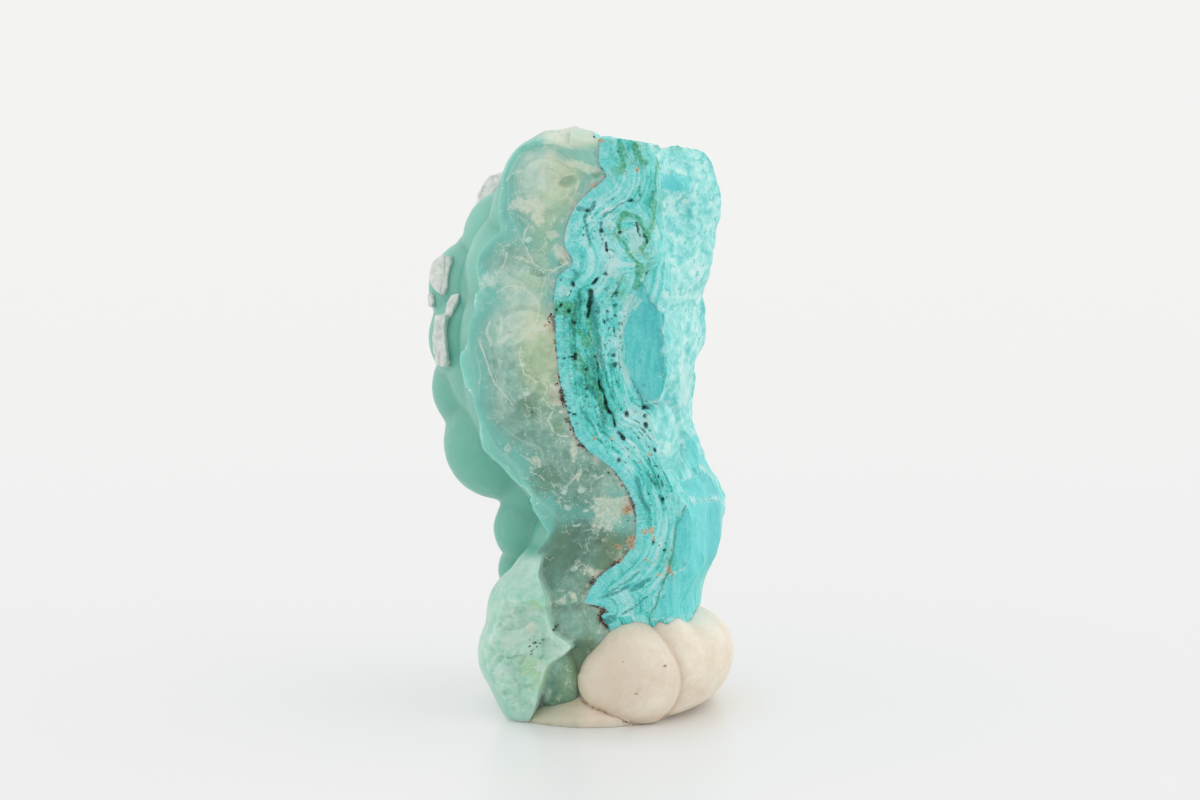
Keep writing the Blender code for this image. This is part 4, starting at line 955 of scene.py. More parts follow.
def on_break(thing, marks):
    """1 for each vertex that lies on a face cut by one of the numbered breaks."""
    count = len(thing.data.polygons)
    number = np.empty(count, np.int32)
    thing.data.polygons.foreach_get("material_index", number)
    totals, loops = np.empty(count, np.int32), np.empty(len(thing.data.loops), np.int32)
    thing.data.polygons.foreach_get("loop_total", totals)
    thing.data.loops.foreach_get("vertex_index", loops)
    share = np.zeros(len(thing.data.vertices))
    share[loops[np.repeat(np.isin(number, marks), totals)]] = 1
    return share


def crisp_borders(thing):
    """Marks the edges between two breaks as sharp, and leaves the rest smooth."""
    with edited(thing) as shape:
        for edge in shape.edges:
            edge.smooth = len({face.material_index for face in edge.link_faces}) < 2
        for face in shape.faces:
            face.smooth = True


def dress(thing, made):
    """Gives a piece its one material."""
    thing.data.polygons.foreach_set("material_index", np.zeros(len(thing.data.polygons), np.int32))
    thing.data.materials.clear()
    thing.data.materials.append(made)


def place_in_row(thing):
    """Moves a finished mesh from the source's place to the row's."""
    thing.data.transform(Matrix.Translation(ORIGIN * MM))


def put(tree, socket, value):
    """Links a socket, or sets its value. A colour of three numbers gets its fourth."""
    if hasattr(value, "is_output"):
        tree.links.new(value, socket)
    elif isinstance(value, tuple) and len(value) == 3 and len(socket.default_value) == 4:
        socket.default_value = (*value, 1)
    else:
        socket.default_value = value


def add_node(tree, kind, inputs, **settings):
    """A node of this kind with its settings, and with values or links on its inputs."""
    node = tree.nodes.new(kind)
    for name, value in settings.items():
        setattr(node, name, value)
    for socket, value in inputs.items():
        put(tree, node.inputs[socket], value)
    return node


class Finish:
    """A material and the nodes that are added to it."""

    def __init__(self, name, **settings):
        self.made = bpy.data.materials.new(name)
        self.made.use_nodes = True
        self.shader = self.made.node_tree.nodes["Principled BSDF"]
        for socket, value in settings.items():
            self.shader.inputs[socket.replace("_", " ")].default_value = value
        self.place = self.add("TexCoord", {}).outputs["Object"]

    def add(self, kind, inputs, **settings):
        """A shader node with its settings and inputs."""
        return add_node(self.made.node_tree, "ShaderNode" + kind, inputs, **settings)

    def attribute(self, name, vector=False):
        """What each vertex keeps under this name."""
        return self.add("Attribute", {}, attribute_name=name).outputs["Vector" if vector else "Fac"]

    def maths(self, operation, a, b=0.0):
        """One operation on one or two numbers."""
        return self.add("Math", {0: a, 1: b}, operation=operation).outputs[0]

    def times(self, a, b):
        return self.maths("MULTIPLY", a, b)

    def span(self, value, low, high, to_low=0.0, to_high=1.0):
        """A soft step between two values."""
        ends = {"From Min": low, "From Max": high, "To Min": to_low, "To Max": to_high}
        return self.add("MapRange", {"Value": value, **ends}, interpolation_type="SMOOTHSTEP").outputs[0]

    def stretched(self, vector, sizes):
        """Coordinates divided by sizes in the vector's own unit."""
        return self.add("Mapping", {"Vector": vector, "Scale": tuple(1 / s for s in sizes)}).outputs[0]

    def noise(self, size=None, vector=None, detail=3.0, warp=0.0, colour=False):
        """Noise from 0 to 1 with features of this size in millimetres, or at given coordinates."""
        node = self.add("TexNoise", {"Vector": vector or self.place, "Scale": 1 / (size * MM) if size else 1.0,
                                     "Detail": detail, "Distortion": warp})
        return node.outputs["Color" if colour else "Fac"]

    def spots(self, size):
        """Distance to the nearest of scattered middles, and that middle's own number."""
        node = self.add("TexVoronoi", {"Vector": self.place, "Scale": 1 / (size * MM)})
        return node.outputs["Distance"], node.outputs["Color"]

    def length(self, vector):
        return self.add("VectorMath", {0: vector}, operation="LENGTH").outputs["Value"]

    def sum(self, *parts):
        """Adds (value, weight) pairs."""
        total = None
        for value, weight in parts:
            part = self.times(value, weight)
            total = part if total is None else self.maths("ADD", total, part)
        return total

    def mark(self, name, soft=0.3, uneven=1.0, size=0.5, strength=1.0, inset=0.0):
        """A mark cut from its field, with an uneven border and a patchy inside."""
        push = self.sum((self.noise(size * 2.2, detail=4.0), uneven),
                        (self.noise(size * 0.5, detail=3.0), uneven * 0.6))
        edge = self.maths("ADD", self.attribute(name), self.maths("SUBTRACT", push, uneven * 0.8 + inset))
        patchy = self.span(self.noise(size * 0.8, detail=4.0), 0.36, 0.6, strength * 0.55, strength)
        return self.times(self.span(edge, -soft, soft), patchy)

    def marked(self, base, *marks):
        """Marks on a colour, each given by its name, how it is cut and its colour."""
        for name, cut_by, colour in marks:
            base = self.mix(self.mark(name, *cut_by), base, colour)
        return base

    def ramp(self, value, stops):
        """Colours along a value, as (place, colour)."""
        node = self.add("ValToRGB", {0: value})
        elements = node.color_ramp.elements
        while len(elements) < len(stops):
            elements.new(0.5)
        for element, (at, _) in zip(elements, stops):
            element.position = at
        for element, (_, colour) in zip(elements, stops):
            element.color = (*rgb(colour), 1)
        return node.outputs[0]

    def mix(self, share, a, b):
        """The first colour where the share is 0, and the second where it is 1."""
        a, b = (rgb(colour) if isinstance(colour, tuple) else colour for colour in (a, b))
        return self.add("Mix", {0: share, 6: a, 7: b}, data_type="RGBA").outputs[2]

    def bump(self, height, depth, under=None):
        """Relief this many millimetres deep where the height goes from 0 to 1."""
        return self.add("Bump", {"Distance": depth * MM, "Height": height,
                                 **({"Normal": under} if under else {})}).outputs[0]

    def give(self, socket, value):
        """Puts a value or a link on the shader."""
        put(self.made.node_tree, self.shader.inputs[socket], value)

    def surface(self, node):
        """Makes this node the surface in the shader's place."""
        put(self.made.node_tree, self.made.node_tree.nodes["Material Output"].inputs["Surface"], node.outputs[0])


def rgb(colour):
    """A colour given as it looks on a screen, 0 to 255, as light values."""
    return tuple(c / 255 / 12.92 if c / 255 <= 0.04045 else ((c / 255 + 0.055) / 1.055) ** 2.4 for c in colour)


def crust_finish():
    """Translucent smithsonite: satin lobes outside, a waxy break with pale veins and growth bands inside."""
    f = Finish("smithsonite", Roughness=0.36, IOR=1.6, Subsurface_Weight=0.75, Subsurface_Scale=0.0016,
               Subsurface_Radius=(0.55, 1.0, 0.85))
    broken, crease, rim = f.attribute("broken"), f.attribute("crease"), f.attribute("rim_depth")
    contact, bulge = f.attribute("to_contact"), f.attribute("bulge")
    slow, middle, fine = f.noise(5.0), f.noise(1.5, detail=4.0), f.noise(0.35, detail=3.0)
    cloudy, tiny = f.noise(0.9, detail=6.0, warp=0.4), f.noise(0.14, detail=2.0)

    # The skin is painted darker in the creases between lobes: painted shade.
    skin = f.ramp(f.sum((crease, 0.4), (slow, 0.4)), [(0.0, (146, 212, 196)), (0.25, (132, 204, 186)),
                                                     (0.5, (116, 192, 173)), (0.8, (92, 172, 152))])
    # Painted shade: the skin of the lower lobes is darker.
    skin = f.mix(f.times(f.attribute("low_lobe_shade"), 0.6), skin, (96, 178, 158))
    skin = f.mix(f.span(middle, 0.52, 0.75, 0, 0.25), skin, (156, 210, 196))
    skin = f.mix(f.times(f.span(tiny, 0.66, 0.74), f.span(middle, 0.56, 0.66, 0, 0.5)), skin, (196, 222, 212))

    tone = f.sum((f.attribute("lighter"), 0.32), (cloudy, 0.55), (slow, 0.25), (fine, 0.2))
    inside = f.ramp(tone, [(0.12, (80, 128, 108)), (0.3, (108, 158, 142)), (0.5, (144, 190, 174)),
                           (0.68, (178, 213, 199)), (0.9, (210, 229, 217))])
    warm = f.ramp(tone, [(0.12, (94, 112, 80)), (0.3, (122, 148, 112)), (0.5, (156, 184, 148)),
                         (0.68, (190, 210, 175)), (0.9, (220, 227, 204))])
    inside = f.mix(f.span(f.sum((f.attribute("warmer"), 1.0), (middle, 0.6)), 0.2, 1.1), inside, warm)
    shell = f.ramp(f.sum((rim, 0.16), (middle, 0.12)), [(0.0, (146, 212, 198)), (0.12, (112, 196, 184)),
                                                       (0.24, (112, 190, 178)), (0.4, (122, 186, 172))])
    inside = f.mix(f.span(f.sum((rim, 1.0), (middle, 1.4)), 2.6, 1.0, 0, 0.9), inside, shell)
    growth = f.noise(vector=f.stretched(f.attribute("growth", True), (0.34, 5.0, 5.0)), detail=3.0, warp=0.5)
    upper = f.attribute("upper")
    inside = f.mix(f.times(f.span(growth, 0.56, 0.7, 0, 0.4), upper), inside, (190, 218, 204))
    inside = f.mix(f.times(f.span(growth, 0.44, 0.3, 0, 0.3), upper), inside, (100, 158, 140))

    mint = f.ramp(f.sum((cloudy, 0.35), (fine, 0.2), (slow, 0.5)),
                  [(0.36, (146, 204, 181)), (0.46, (174, 219, 199)), (0.54, (196, 230, 213)),
                   (0.66, (224, 240, 230))])
    mint = f.mix(f.mark("lime", 0.6, 0.8, 1.2, 0.8), mint, (166, 214, 168))
    inside = f.mix(f.times(bulge, 0.92), inside, mint)
    skin = f.mix(f.times(bulge, 0.75), skin, mint)

    inside = f.marked(inside, ("clear", (0.4, 0.9, 0.9, 0.7), (92, 142, 112)),
                      ("lime", (0.6, 0.9, 1.0, 0.35), (168, 202, 160)),
                      ("milk", (0.4, 1.7, 0.45, 0.85), (204, 228, 217)),
                      ("cream", (0.35, 2.2, 0.45, 0.85), (217, 225, 206)),
                      ("vein", (0.35, 1.5, 0.3, 0.75, 0.1), (216, 227, 213)))
    inside = f.mix(f.times(f.attribute("lip"), f.span(cloudy, 0.36, 0.6, 0.2, 0.8)), inside, (188, 222, 204))

    zone = f.attribute("fleck_zone")
    specks = f.times(f.span(f.noise(0.2, detail=2.0, warp=0.4), 0.6, 0.68),
                     f.span(f.sum((cloudy, 1.0), (zone, 0.22)), 0.56, 0.74))
    inside = f.mix(f.times(specks, 0.75), inside, (222, 230, 220))
    push = f.noise(1.4, detail=2.0, colour=True)
    shaken = f.add("VectorMath", {0: push, 1: (0.0022, 0.0022, 0.0022), 2: f.place}, operation="MULTIPLY_ADD")
    cracks = f.add("TexVoronoi", {"Vector": shaken.outputs[0], "Scale": 1 / (2.4 * MM)}, feature="DISTANCE_TO_EDGE")
    hair = f.times(f.span(cracks.outputs["Distance"], 0.045, 0.0), f.span(middle, 0.5, 0.62))
    inside = f.mix(f.times(hair, 0.55), inside, (214, 226, 212))

    pale = f.times(f.span(contact, 1.1, 0.1), f.span(cloudy, 0.46, 0.62))
    inside = f.mix(f.times(pale, 0.6), inside, (204, 200, 178))
    inside = f.mix(f.mark("brown", 0.5, 1.4, 0.6, 0.45), inside, (172, 154, 128))
    rusty = f.ramp(f.sum((tiny, 0.7), (fine, 0.3)),
                   [(0.38, (128, 84, 52)), (0.5, (186, 138, 98)), (0.6, (226, 194, 158))])
    inside = f.mix(f.mark("rust", 0.25, 2.4, 0.28, 0.95), inside, rusty)
    seam = f.span(f.sum((contact, 1.0), (fine, 1.2), (middle, 0.6), (f.attribute("grains"), -0.75)), 0.45, 0.2)
    inside = f.mix(f.times(seam, 0.85), inside, f.mix(f.span(tiny, 0.42, 0.6), (66, 50, 40), (150, 126, 100)))
    inside = f.mix(f.mark("dots", 0.3, 1.2, 0.2, 1.0, -0.15), inside, (52, 46, 34))

    outer = f.mix(f.times(f.attribute("crest"), f.span(cloudy, 0.25, 0.5)), skin, (220, 226, 208))
    inside = f.mix(f.times(f.attribute("crest"), 0.8), inside, (212, 220, 200))
    f.give("Base Color", f.mix(broken, outer, inside))
    f.give("Roughness", f.span(f.sum((fine, 1.0), (broken, 0.2)), 0.2, 1.0, 0.3, 0.5))
    satin = f.bump(f.noise(0.5, detail=4.0), 0.02)
    f.give("Normal", f.bump(f.times(f.noise(0.16, detail=3.0), broken), 0.018, satin))
    return f.made


def rock_finish():
    """Copper-stained rock: bands of turquoise, pale and deep teal along the contact, malachite and dark pits."""
    f = Finish("banded_rock", Roughness=0.6, Subsurface_Weight=0.12, Subsurface_Scale=0.0008,
               Subsurface_Radius=(0.4, 1.0, 1.0))
    bands = f.attribute("bands", True)
    depth, side, pores = f.attribute("into_rock"), f.attribute("side"), f.attribute("pores")
    mottle, fine, tiny = f.noise(1.0, detail=6.0, warp=0.5), f.noise(0.3, detail=4.0), f.noise(0.13, detail=3.0)
    wide = f.noise(vector=f.stretched(bands, (0.75, 4.0, 4.0)), detail=4.0, warp=0.5)
    thin = f.noise(vector=f.stretched(bands, (0.28, 1.4, 1.4)), detail=4.0, warp=0.4)
    facet = f.span(f.sum((f.attribute("facet"), 1.0), (fine, 3.0), (mottle, 3.0)), 2.0, 3.8)

    value = f.sum((wide, 0.42), (thin, 0.26), (mottle, 0.16), (fine, 0.16), (tiny, 0.12), (pores, -0.02),
                  (f.attribute("shade"), 0.06))
    rock = f.ramp(value, [(0.42, (30, 146, 130)), (0.465, (56, 194, 182)), (0.505, (86, 216, 209)),
                          (0.54, (118, 227, 222)), (0.588, (154, 235, 232)), (0.64, (188, 241, 239)),
                          (0.70, (216, 244, 242))])
    fibres = f.noise(vector=f.stretched(bands, (1.4, 0.14, 0.2)), detail=3.0, warp=0.2)
    rim = f.ramp(f.sum((fibres, 0.4), (mottle, 0.3), (tiny, 0.3)),
                 [(0.38, (76, 204, 198)), (0.47, (106, 221, 216)), (0.55, (140, 232, 229)),
                  (0.64, (180, 239, 236))])
    rock = f.mix(f.span(f.sum((depth, 1.0), (mottle, 0.8)), 2.0, 1.0, 0, 0.85), rock, rim)

    broad, patchy = f.noise(7.0), f.noise(vector=f.stretched(f.place, (0.0020, 0.0050, 0.0020)), detail=3.0)
    lumps = f.noise(vector=f.stretched(f.place, (0.0008, 0.0024, 0.0008)), detail=3.0)
    pale_side = f.ramp(f.sum((broad, 0.2), (patchy, 0.28), (lumps, 0.38), (fine, 0.14)),
                       [(0.39, (84, 200, 197)), (0.445, (122, 216, 211)), (0.50, (154, 228, 223)),
                        (0.555, (186, 238, 233)), (0.62, (216, 243, 235))])
    teal = f.noise(vector=f.stretched(f.place, (0.0007, 0.0021, 0.0007)), detail=2.0)
    teal = f.times(f.span(teal, 0.56, 0.64), f.span(patchy, 0.4, 0.55, 0.2, 0.75))
    pale_side = f.mix(teal, pale_side, (86, 202, 200))
    rock = f.mix(side, rock, pale_side)

    streaks = f.noise(vector=f.stretched(f.place, (0.0004, 0.0004, 0.003)), detail=4.0)
    plain = f.ramp(f.sum((streaks, 0.5), (fine, 0.3), (tiny, 0.2)), [(0.38, (72, 198, 198)), (0.5, (94, 214, 212)),
                                                                   (0.62, (132, 226, 223))])
    rock = f.mix(f.times(facet, 0.9), rock, plain)
    border = f.maths("SUBTRACT", f.attribute("facet"), f.span(fine, 0.3, 0.7, -1.2, 1.2))
    worn = f.times(f.span(f.maths("ABSOLUTE", border), 1.6, 0.4), f.span(mottle, 0.44, 0.58, 0.0, 0.75))
    rock = f.mix(worn, rock, (190, 236, 234))

    rock = f.marked(rock, ("blue", (0.4, 0.9, 0.5, 0.6), (62, 190, 196)),
                    ("pale", (0.35, 1.3, 0.4, 0.7), (198, 236, 232)),
                    ("deep", (0.35, 1.3, 0.35, 0.85), (34, 148, 146)))
    green = f.ramp(f.sum((fine, 0.6), (tiny, 0.4)), [(0.36, (36, 140, 100)), (0.46, (58, 170, 124)),
                                                     (0.56, (92, 188, 142)), (0.68, (140, 206, 164))])
    copper = f.times(f.attribute("malachite"), f.span(f.sum((thin, 0.5), (mottle, 0.5)), 0.46, 0.58))
    rock = f.mix(f.times(copper, 0.7), rock, green)
    rock = f.mix(f.mark("green", 0.35, 1.9, 0.35, 0.9, -0.1), rock, green)
    flat = f.maths("SUBTRACT", 1.0, facet)
    holes = f.noise(vector=f.stretched(bands, (0.3, 0.42, 0.42)), detail=3.0, warp=0.5)
    dark = f.span(f.sum((holes, 1.0), (pores, -0.07), (side, 0.06)), 0.35, 0.29)
    dark = f.times(f.times(dark, f.span(depth, 0.4, 1.0)), flat)
    rock = f.mix(f.times(dark, 0.8), rock, (36, 118, 100))
    rock = f.marked(rock, ("cracks", (0.4, 1.4, 0.5, 0.55), (70, 172, 146)),
                    ("pits", (0.3, 0.9, 0.25, 0.95), (18, 56, 46)))
    rusty = f.ramp(f.sum((tiny, 0.7), (fine, 0.3)),
                   [(0.38, (150, 104, 66)), (0.5, (210, 162, 118)), (0.6, (236, 208, 172))])
    rock = f.mix(f.mark("rust", 0.25, 2.2, 0.28, 0.95), rock, rusty)
    seam = f.span(f.sum((depth, 1.0), (fine, 0.9), (f.attribute("grains"), -0.35)), 0.22, 0.1)
    rock = f.mix(f.times(seam, 0.7), rock, (66, 58, 50))

    f.give("Base Color", rock)
    f.give("Roughness", f.span(fine, 0.3, 0.7, 0.5, 0.72))
    even = f.maths("MAXIMUM", facet, f.times(side, 0.6))
    rough = f.times(f.sum((fine, 1.0), (tiny, 0.6)), f.span(even, 0.0, 1.0, 1.0, 0.15))
    f.give("Normal", f.bump(rough, 0.16))
    return f.made


def white_finish():
    """Slightly rough white crystal, with faint grey and a little light passing through."""
    f = Finish("white_mineral", Roughness=0.45, IOR=1.58, Subsurface_Weight=0.5, Subsurface_Scale=0.0008,
               Subsurface_Radius=(1.0, 1.0, 1.0))
    cloud = f.noise(0.7, detail=5.0, warp=0.4)
    f.give("Base Color", f.ramp(cloud, [(0.35, (208, 216, 208)), (0.5, (222, 226, 219)), (0.65, (234, 235, 230))]))
    f.give("Roughness", f.span(cloud, 0.3, 0.7, 0.35, 0.6))
    f.give("Normal", f.bump(f.noise(0.2, detail=5.0), 0.05))
    return f.made


def putty_finish():
    """Cream mineral putty: matt, a little uneven, with dust specks, skin marks and painted shade in folds, pad and
    flange.
    """
    f = Finish("putty", Roughness=0.62, Subsurface_Weight=0.35, Subsurface_Scale=0.0015,
               Subsurface_Radius=(1.0, 0.7, 0.5))
    slow, fine = f.noise(4.0, detail=4.0), f.noise(0.5, detail=4.0)
    tone = f.ramp(f.sum((slow, 0.7), (fine, 0.3)),
                  [(0.36, (230, 215, 193)), (0.5, (238, 225, 206)), (0.64, (244, 235, 219))])
    # Painted shade with a painted green reflection of the crust, on the flange at the putty's left foot.
    tone = f.mix(f.times(f.attribute("flange_shade"), 0.75), tone, (194, 192, 166))
    # Painted shade on the lower left of the pressed pad.
    tone = f.mix(f.times(f.attribute("pressed"), 0.5), tone, (214, 196, 172))
    # Painted shade in the folds where the pad meets the lumps.
    tone = f.mix(f.times(f.attribute("fold"), 0.4), tone, (204, 176, 146))
    speck, shade = f.spots(1.7)
    dust = f.times(f.span(speck, 0.06, 0.03), f.span(shade, 0.62, 0.68))
    tone = f.mix(f.times(dust, 0.6), tone, (160, 128, 102))
    tone = f.mix(f.mark("stain", 0.3, 0.9, 0.2, 0.9), tone, (112, 72, 58))
    f.give("Base Color", tone)
    f.give("Roughness", f.span(fine, 0.3, 0.7, 0.52, 0.72))
    skin_marks = f.noise(vector=f.stretched(f.place, (0.0005, 0.0005, 0.00022)), detail=1.0, warp=0.6)
    f.give("Normal", f.bump(skin_marks, 0.012, f.bump(f.noise(0.9, detail=5.0), 0.06)))
    return f.made


def grain_finish():
    """Dark brown oxide grains."""
    f = Finish("oxide_grains", Roughness=0.5)
    f.give("Base Color", f.ramp(f.noise(0.25, detail=2.0), [(0.35, (30, 26, 22)), (0.5, (64, 50, 40)),
                                                            (0.64, (140, 116, 92))]))
    return f.made


def grains_along(row):
    """How thick the dark grains lie at each row of the photograph."""
    return sum(thick * step(start - 3, start + 3, row) * (1 - step(end - 3, end + 3, row))
               for start, end, thick in CONTACT_GRAINS)


def keep_marks(thing, names, c, r, shown):
    """Keeps the fields of named marks where they are shown, and puts every other place well outside them."""
    for name in names:
        field = np.maximum(spot_field(c, r, SPOTS.get(name, [])), stroke_field(c, r, STROKES.get(name, [])))
        set_attribute(thing, name, np.where(shown > 0.5, field, -1))


def keep_grains(thing, points, r, front):
    """Keeps how thick the dark grains lie: from the photograph on the section, and in patches elsewhere."""
    elsewhere = (1 - front) * (grain(points, 3.0, 171) > 0)
    set_attribute(thing, "grains", np.clip(grains_along(r) * front + elsewhere, 0, 1))


def tone_at(points, c, r, front):
    """How much lighter and warmer than the plain crust each place is."""
    tones = [HIDDEN_TONE * (1 - front) * grain(points, 7.0, seed) for seed in (181, 182)]
    for *zone, light, warm in TONE_ZONES:
        share = in_spots(c, r, [zone], 0.85) * front
        tones = [tones[0] + share * light, tones[1] + share * warm]
    return tones


def crust_marks(crust):
    """Works out what the crust's material reads at each vertex."""
    points = points_of(crust)
    x, y, z = points.T
    column, row = photo_place(points)
    c, r = ragged(points, column, row)
    front, broken = on_break(crust, [FRONT]), on_break(crust, BREAKS)
    distance, _, apart = lobe_field(points)
    rock, along = into_rock(points)
    bulge = bulge_share(x, z) * step(7, 4, y)
    lighter, warmer = tone_at(points, c, r, front)
    for name, values in (
            # The crease share darkens the skin between lobes: painted shade.
            ("broken", broken), ("crease", np.exp(-apart / 0.9) * (1 - broken)),
            ("rim_depth", np.maximum(-distance, 0) + 4 * step(22, 10, z)), ("upper", step(12, 30, z)),
            # The low lobes' share darkens the lower skin as painted shade.
            ("low_lobe_shade", step(50, 32, z)), ("to_contact", np.abs(rock)), ("bulge", bulge),
            ("lip", bulge * np.exp(-np.maximum(0, smooth_line(LEDGE, z) - x - 0.1) / 0.35)),
            ("lighter", lighter), ("warmer", warmer), ("fleck_zone", in_spots(c, r, FLECK_ZONES, 0.7) * front),
            ("crest", in_spots(column, row, CREST, 0.4) * (y < 8))):
        set_attribute(crust, name, values)
    set_vectors(crust, "growth", np.stack([distance, along, y], -1))
    keep_marks(crust, ("clear", "milk", "cream", "brown", "lime", "vein", "dots", "rust"), c, r, front)
    keep_grains(crust, points, r, front)


def rock_marks(rock_piece):
    """Works out what the rock's material reads at each vertex."""
    points = points_of(rock_piece)
    x, y, z = points.T
    column, row = photo_place(points)
    c, r = ragged(points, column, row)
    front = on_break(rock_piece, [FRONT])
    rock, along = into_rock(points)
    ring = np.hypot(c - RING_MIDDLE[0], r - RING_MIDDLE[1]) / 10
    folded = rock + (RING_DEPTH - ring - rock) * step(*RING_REACH, ring) * front
    high = step(24.5, 27.5, z)
    shown = step(17, 12, y + 2 * rough_grain(points, 3.0, 231))
    beyond = np.maximum(0, x - front_edge_x(z))
    facets = np.max(facets_at(column, row, c, r), axis=0)
    for name, values in (
            ("side", np.maximum(step(0.1, 1.5, beyond) * high, 1 - np.maximum(front, shown * (1 - high)))),
            ("shade", sum(in_spots(c, r, [zone], 0.85) * paler for *zone, paler in ROCK_SHADES) * front),
            ("into_rock", rock), ("facet", facets - 14 * (1 - shown)),
            ("pores", in_spots(c, r, PORE_ZONES, 0.8) * front),
            ("malachite", in_spots(c, r, MALACHITE_ZONES, 0.8) * front)):
        set_attribute(rock_piece, name, values)
    set_vectors(rock_piece, "bands", np.stack([folded, along, y], -1))
    keep_marks(rock_piece, ("blue",), c, r, shown)
    keep_marks(rock_piece, ("pale", "deep", "green", "cracks", "pits", "rust"), c, r, front)
    keep_grains(rock_piece, points, r, front)


def white_crystal(name, tree, made_from, seed):
    """A flat broken crystal on the lobe that its pixel of the photograph points at, cut to its outline there."""
    (column, row), thickness, outline = made_from
    eye, ahead = photo_ray(column, row)
    hit, normal, _, _ = tree.ray_cast(eye * MM, ahead)
    if hit is None:
        hit, normal, _, _ = tree.find_nearest((eye + ahead * (VIEW_DISTANCE + 10)) * MM)
    hit = hit / MM
    normal = (normal - ahead * CRYSTAL_FACING).normalized()
    corners = []
    for corner in outline:
        start, way = photo_ray(*corner)
        corners.append(start + way * ((hit - start).dot(normal) / way.dot(normal)))
    shape = bmesh.new()
    top = [shape.verts.new((p + normal * thickness * CRYSTAL_ABOVE) * MM) for p in corners]
    low = [shape.verts.new((p + (p - hit) * CRYSTAL_FLARE - normal * thickness * CRYSTAL_BELOW) * MM)
           for p in corners]
    shape.faces.new(top)
    shape.faces.new(low[::-1])
    for i in range(len(corners)):
        j = (i + 1) % len(corners)
        shape.faces.new((top[i], low[i], low[j], top[j]))
    bmesh.ops.recalc_face_normals(shape, faces=shape.faces)
    crystal = object_of(name, shape)
    remesh(crystal, CRYSTAL_VOXEL)
    points, middle, high = points_of(crystal), np.array(hit), np.array(normal)
    across = (points - middle) @ np.array(Vector((0, 0, 1)).cross(normal).normalized())
    height = (points - middle) @ high
    plates = PLATE_DEPTH * (cells(points, PLATE_SIZE, 201 + seed)[2] - 0.5)
    plates += CRYSTAL_GRAIN * rough_grain(points, CRYSTAL_GRAIN_SIZE, 211 + seed) - CRYSTAL_CROWN * across**2
    points += high * (step(0.1, 0.6, height) * plates)[:, None]
    out = points - middle - high * height[:, None]
    points += out * (CRYSTAL_RAGGED * rough_grain(points, CRYSTAL_GRAIN_SIZE, 221 + seed))[:, None]
    move_points(crystal, points)
    crystal.data.shade_smooth()
    crystal.data.set_sharp_from_angle(angle=math.radians(40))
    return crystal


def lump_field(points):
    """Rough distance outside the kneaded lumps of putty, and outside the pressed pad."""
    values = []
    for x, y, z, *half in PUTTY_LUMPS:
        at = (points - np.array((x, y, z))) / half
        reach = np.linalg.norm(at, axis=1)
        values.append((reach - 1) * reach / np.maximum(np.linalg.norm(at / half, axis=1), 1e-6))
    values = np.stack(values, -1)
    nearest = values.min(axis=1)
    body = nearest - PUTTY_BLEND * np.log(np.exp(-(values - nearest[:, None]) / PUTTY_BLEND).sum(axis=1))
    at = points - np.array(PUTTY_PAD)
    lean_cos, lean_sin = math.cos(PUTTY_PAD_LEAN), math.sin(PUTTY_PAD_LEAN)
    forward, rise = at[:, 2] * lean_sin - at[:, 1] * lean_cos, at[:, 2] * lean_cos + at[:, 1] * lean_sin
    turn = np.arctan2(rise, at[:, 0])
    uneven = 1 - sum(depth * np.exp(-(((turn - dent) / PAD_DENT_WIDTH) ** 2)) for dent, depth in PAD_DENTS)
    wide, tall = PUTTY_PAD_RADIUS
    across = np.hypot(at[:, 0] / wide, rise / tall) / uneven
    out = across * tall - tall + PUTTY_PAD_ROUNDING
    front = np.abs(forward) + PAD_DOMING * np.minimum(across, 1) ** 2 - PUTTY_PAD_HALF + PUTTY_PAD_ROUNDING
    corner = np.hypot(np.maximum(out, 0), np.maximum(front, 0))
    return body, np.minimum(np.maximum(out, front), 0) + corner - PUTTY_PAD_ROUNDING


def drawn_to_lumps(points):
    """Moves points onto the skin of the lumps and the pad, and gives the way out of it."""
    for _ in range(PUTTY_FIT_TURNS):
        here = np.min(lump_field(points), axis=0)
        slope = np.stack([(np.min(lump_field(points + way), axis=0) - here) / PUTTY_FIT_REACH
                          for way in PUTTY_FIT_REACH * np.eye(3)], -1)
        slope /= np.maximum(np.linalg.norm(slope, axis=1), 0.3)[:, None]
        points = points - slope * np.clip(here, -PUTTY_FIT_STEP, PUTTY_FIT_STEP)[:, None] * 0.85
    return points, slope


def putty_lump(blank):
    """Pressed putty: soft lumps in one skin, creased where they meet, with the stone pressed into the top."""
    shape = bmesh.new()
    wide, tall = PUTTY_PAD_RADIUS
    for x, y, z, *half in PUTTY_LUMPS + [(*PUTTY_PAD, wide, PUTTY_PAD_HALF, tall)]:
        place = Matrix.Translation(Vector((x, y, z)) * MM) @ Matrix.Diagonal((*half, 1))
        bmesh.ops.create_icosphere(shape, subdivisions=5, radius=MM, matrix=place)
    putty = object_of("putty", shape)
    remesh(putty, PUTTY_VOXEL)
    points, slope = drawn_to_lumps(points_of(putty))
    body, pad = lump_field(points)
    lift = layered(points, PUTTY_GRAIN) - FOLD_DEPTH * np.exp(-np.abs(body - pad) / FOLD_WIDTH)
    move_points(putty, points + slope * lift[:, None])
    x, y = np.meshgrid(np.linspace(-30, 50, 3), np.linspace(-30, 50, 3))
    cut(putty, closed_sheet("floor_level", np.stack([x, y, np.zeros(x.shape)], -1), (None, None, -20), 0))
    cut(putty, blank, keep_cutter=True)
    largest_piece(putty)
    putty.data.shade_smooth()
    return putty


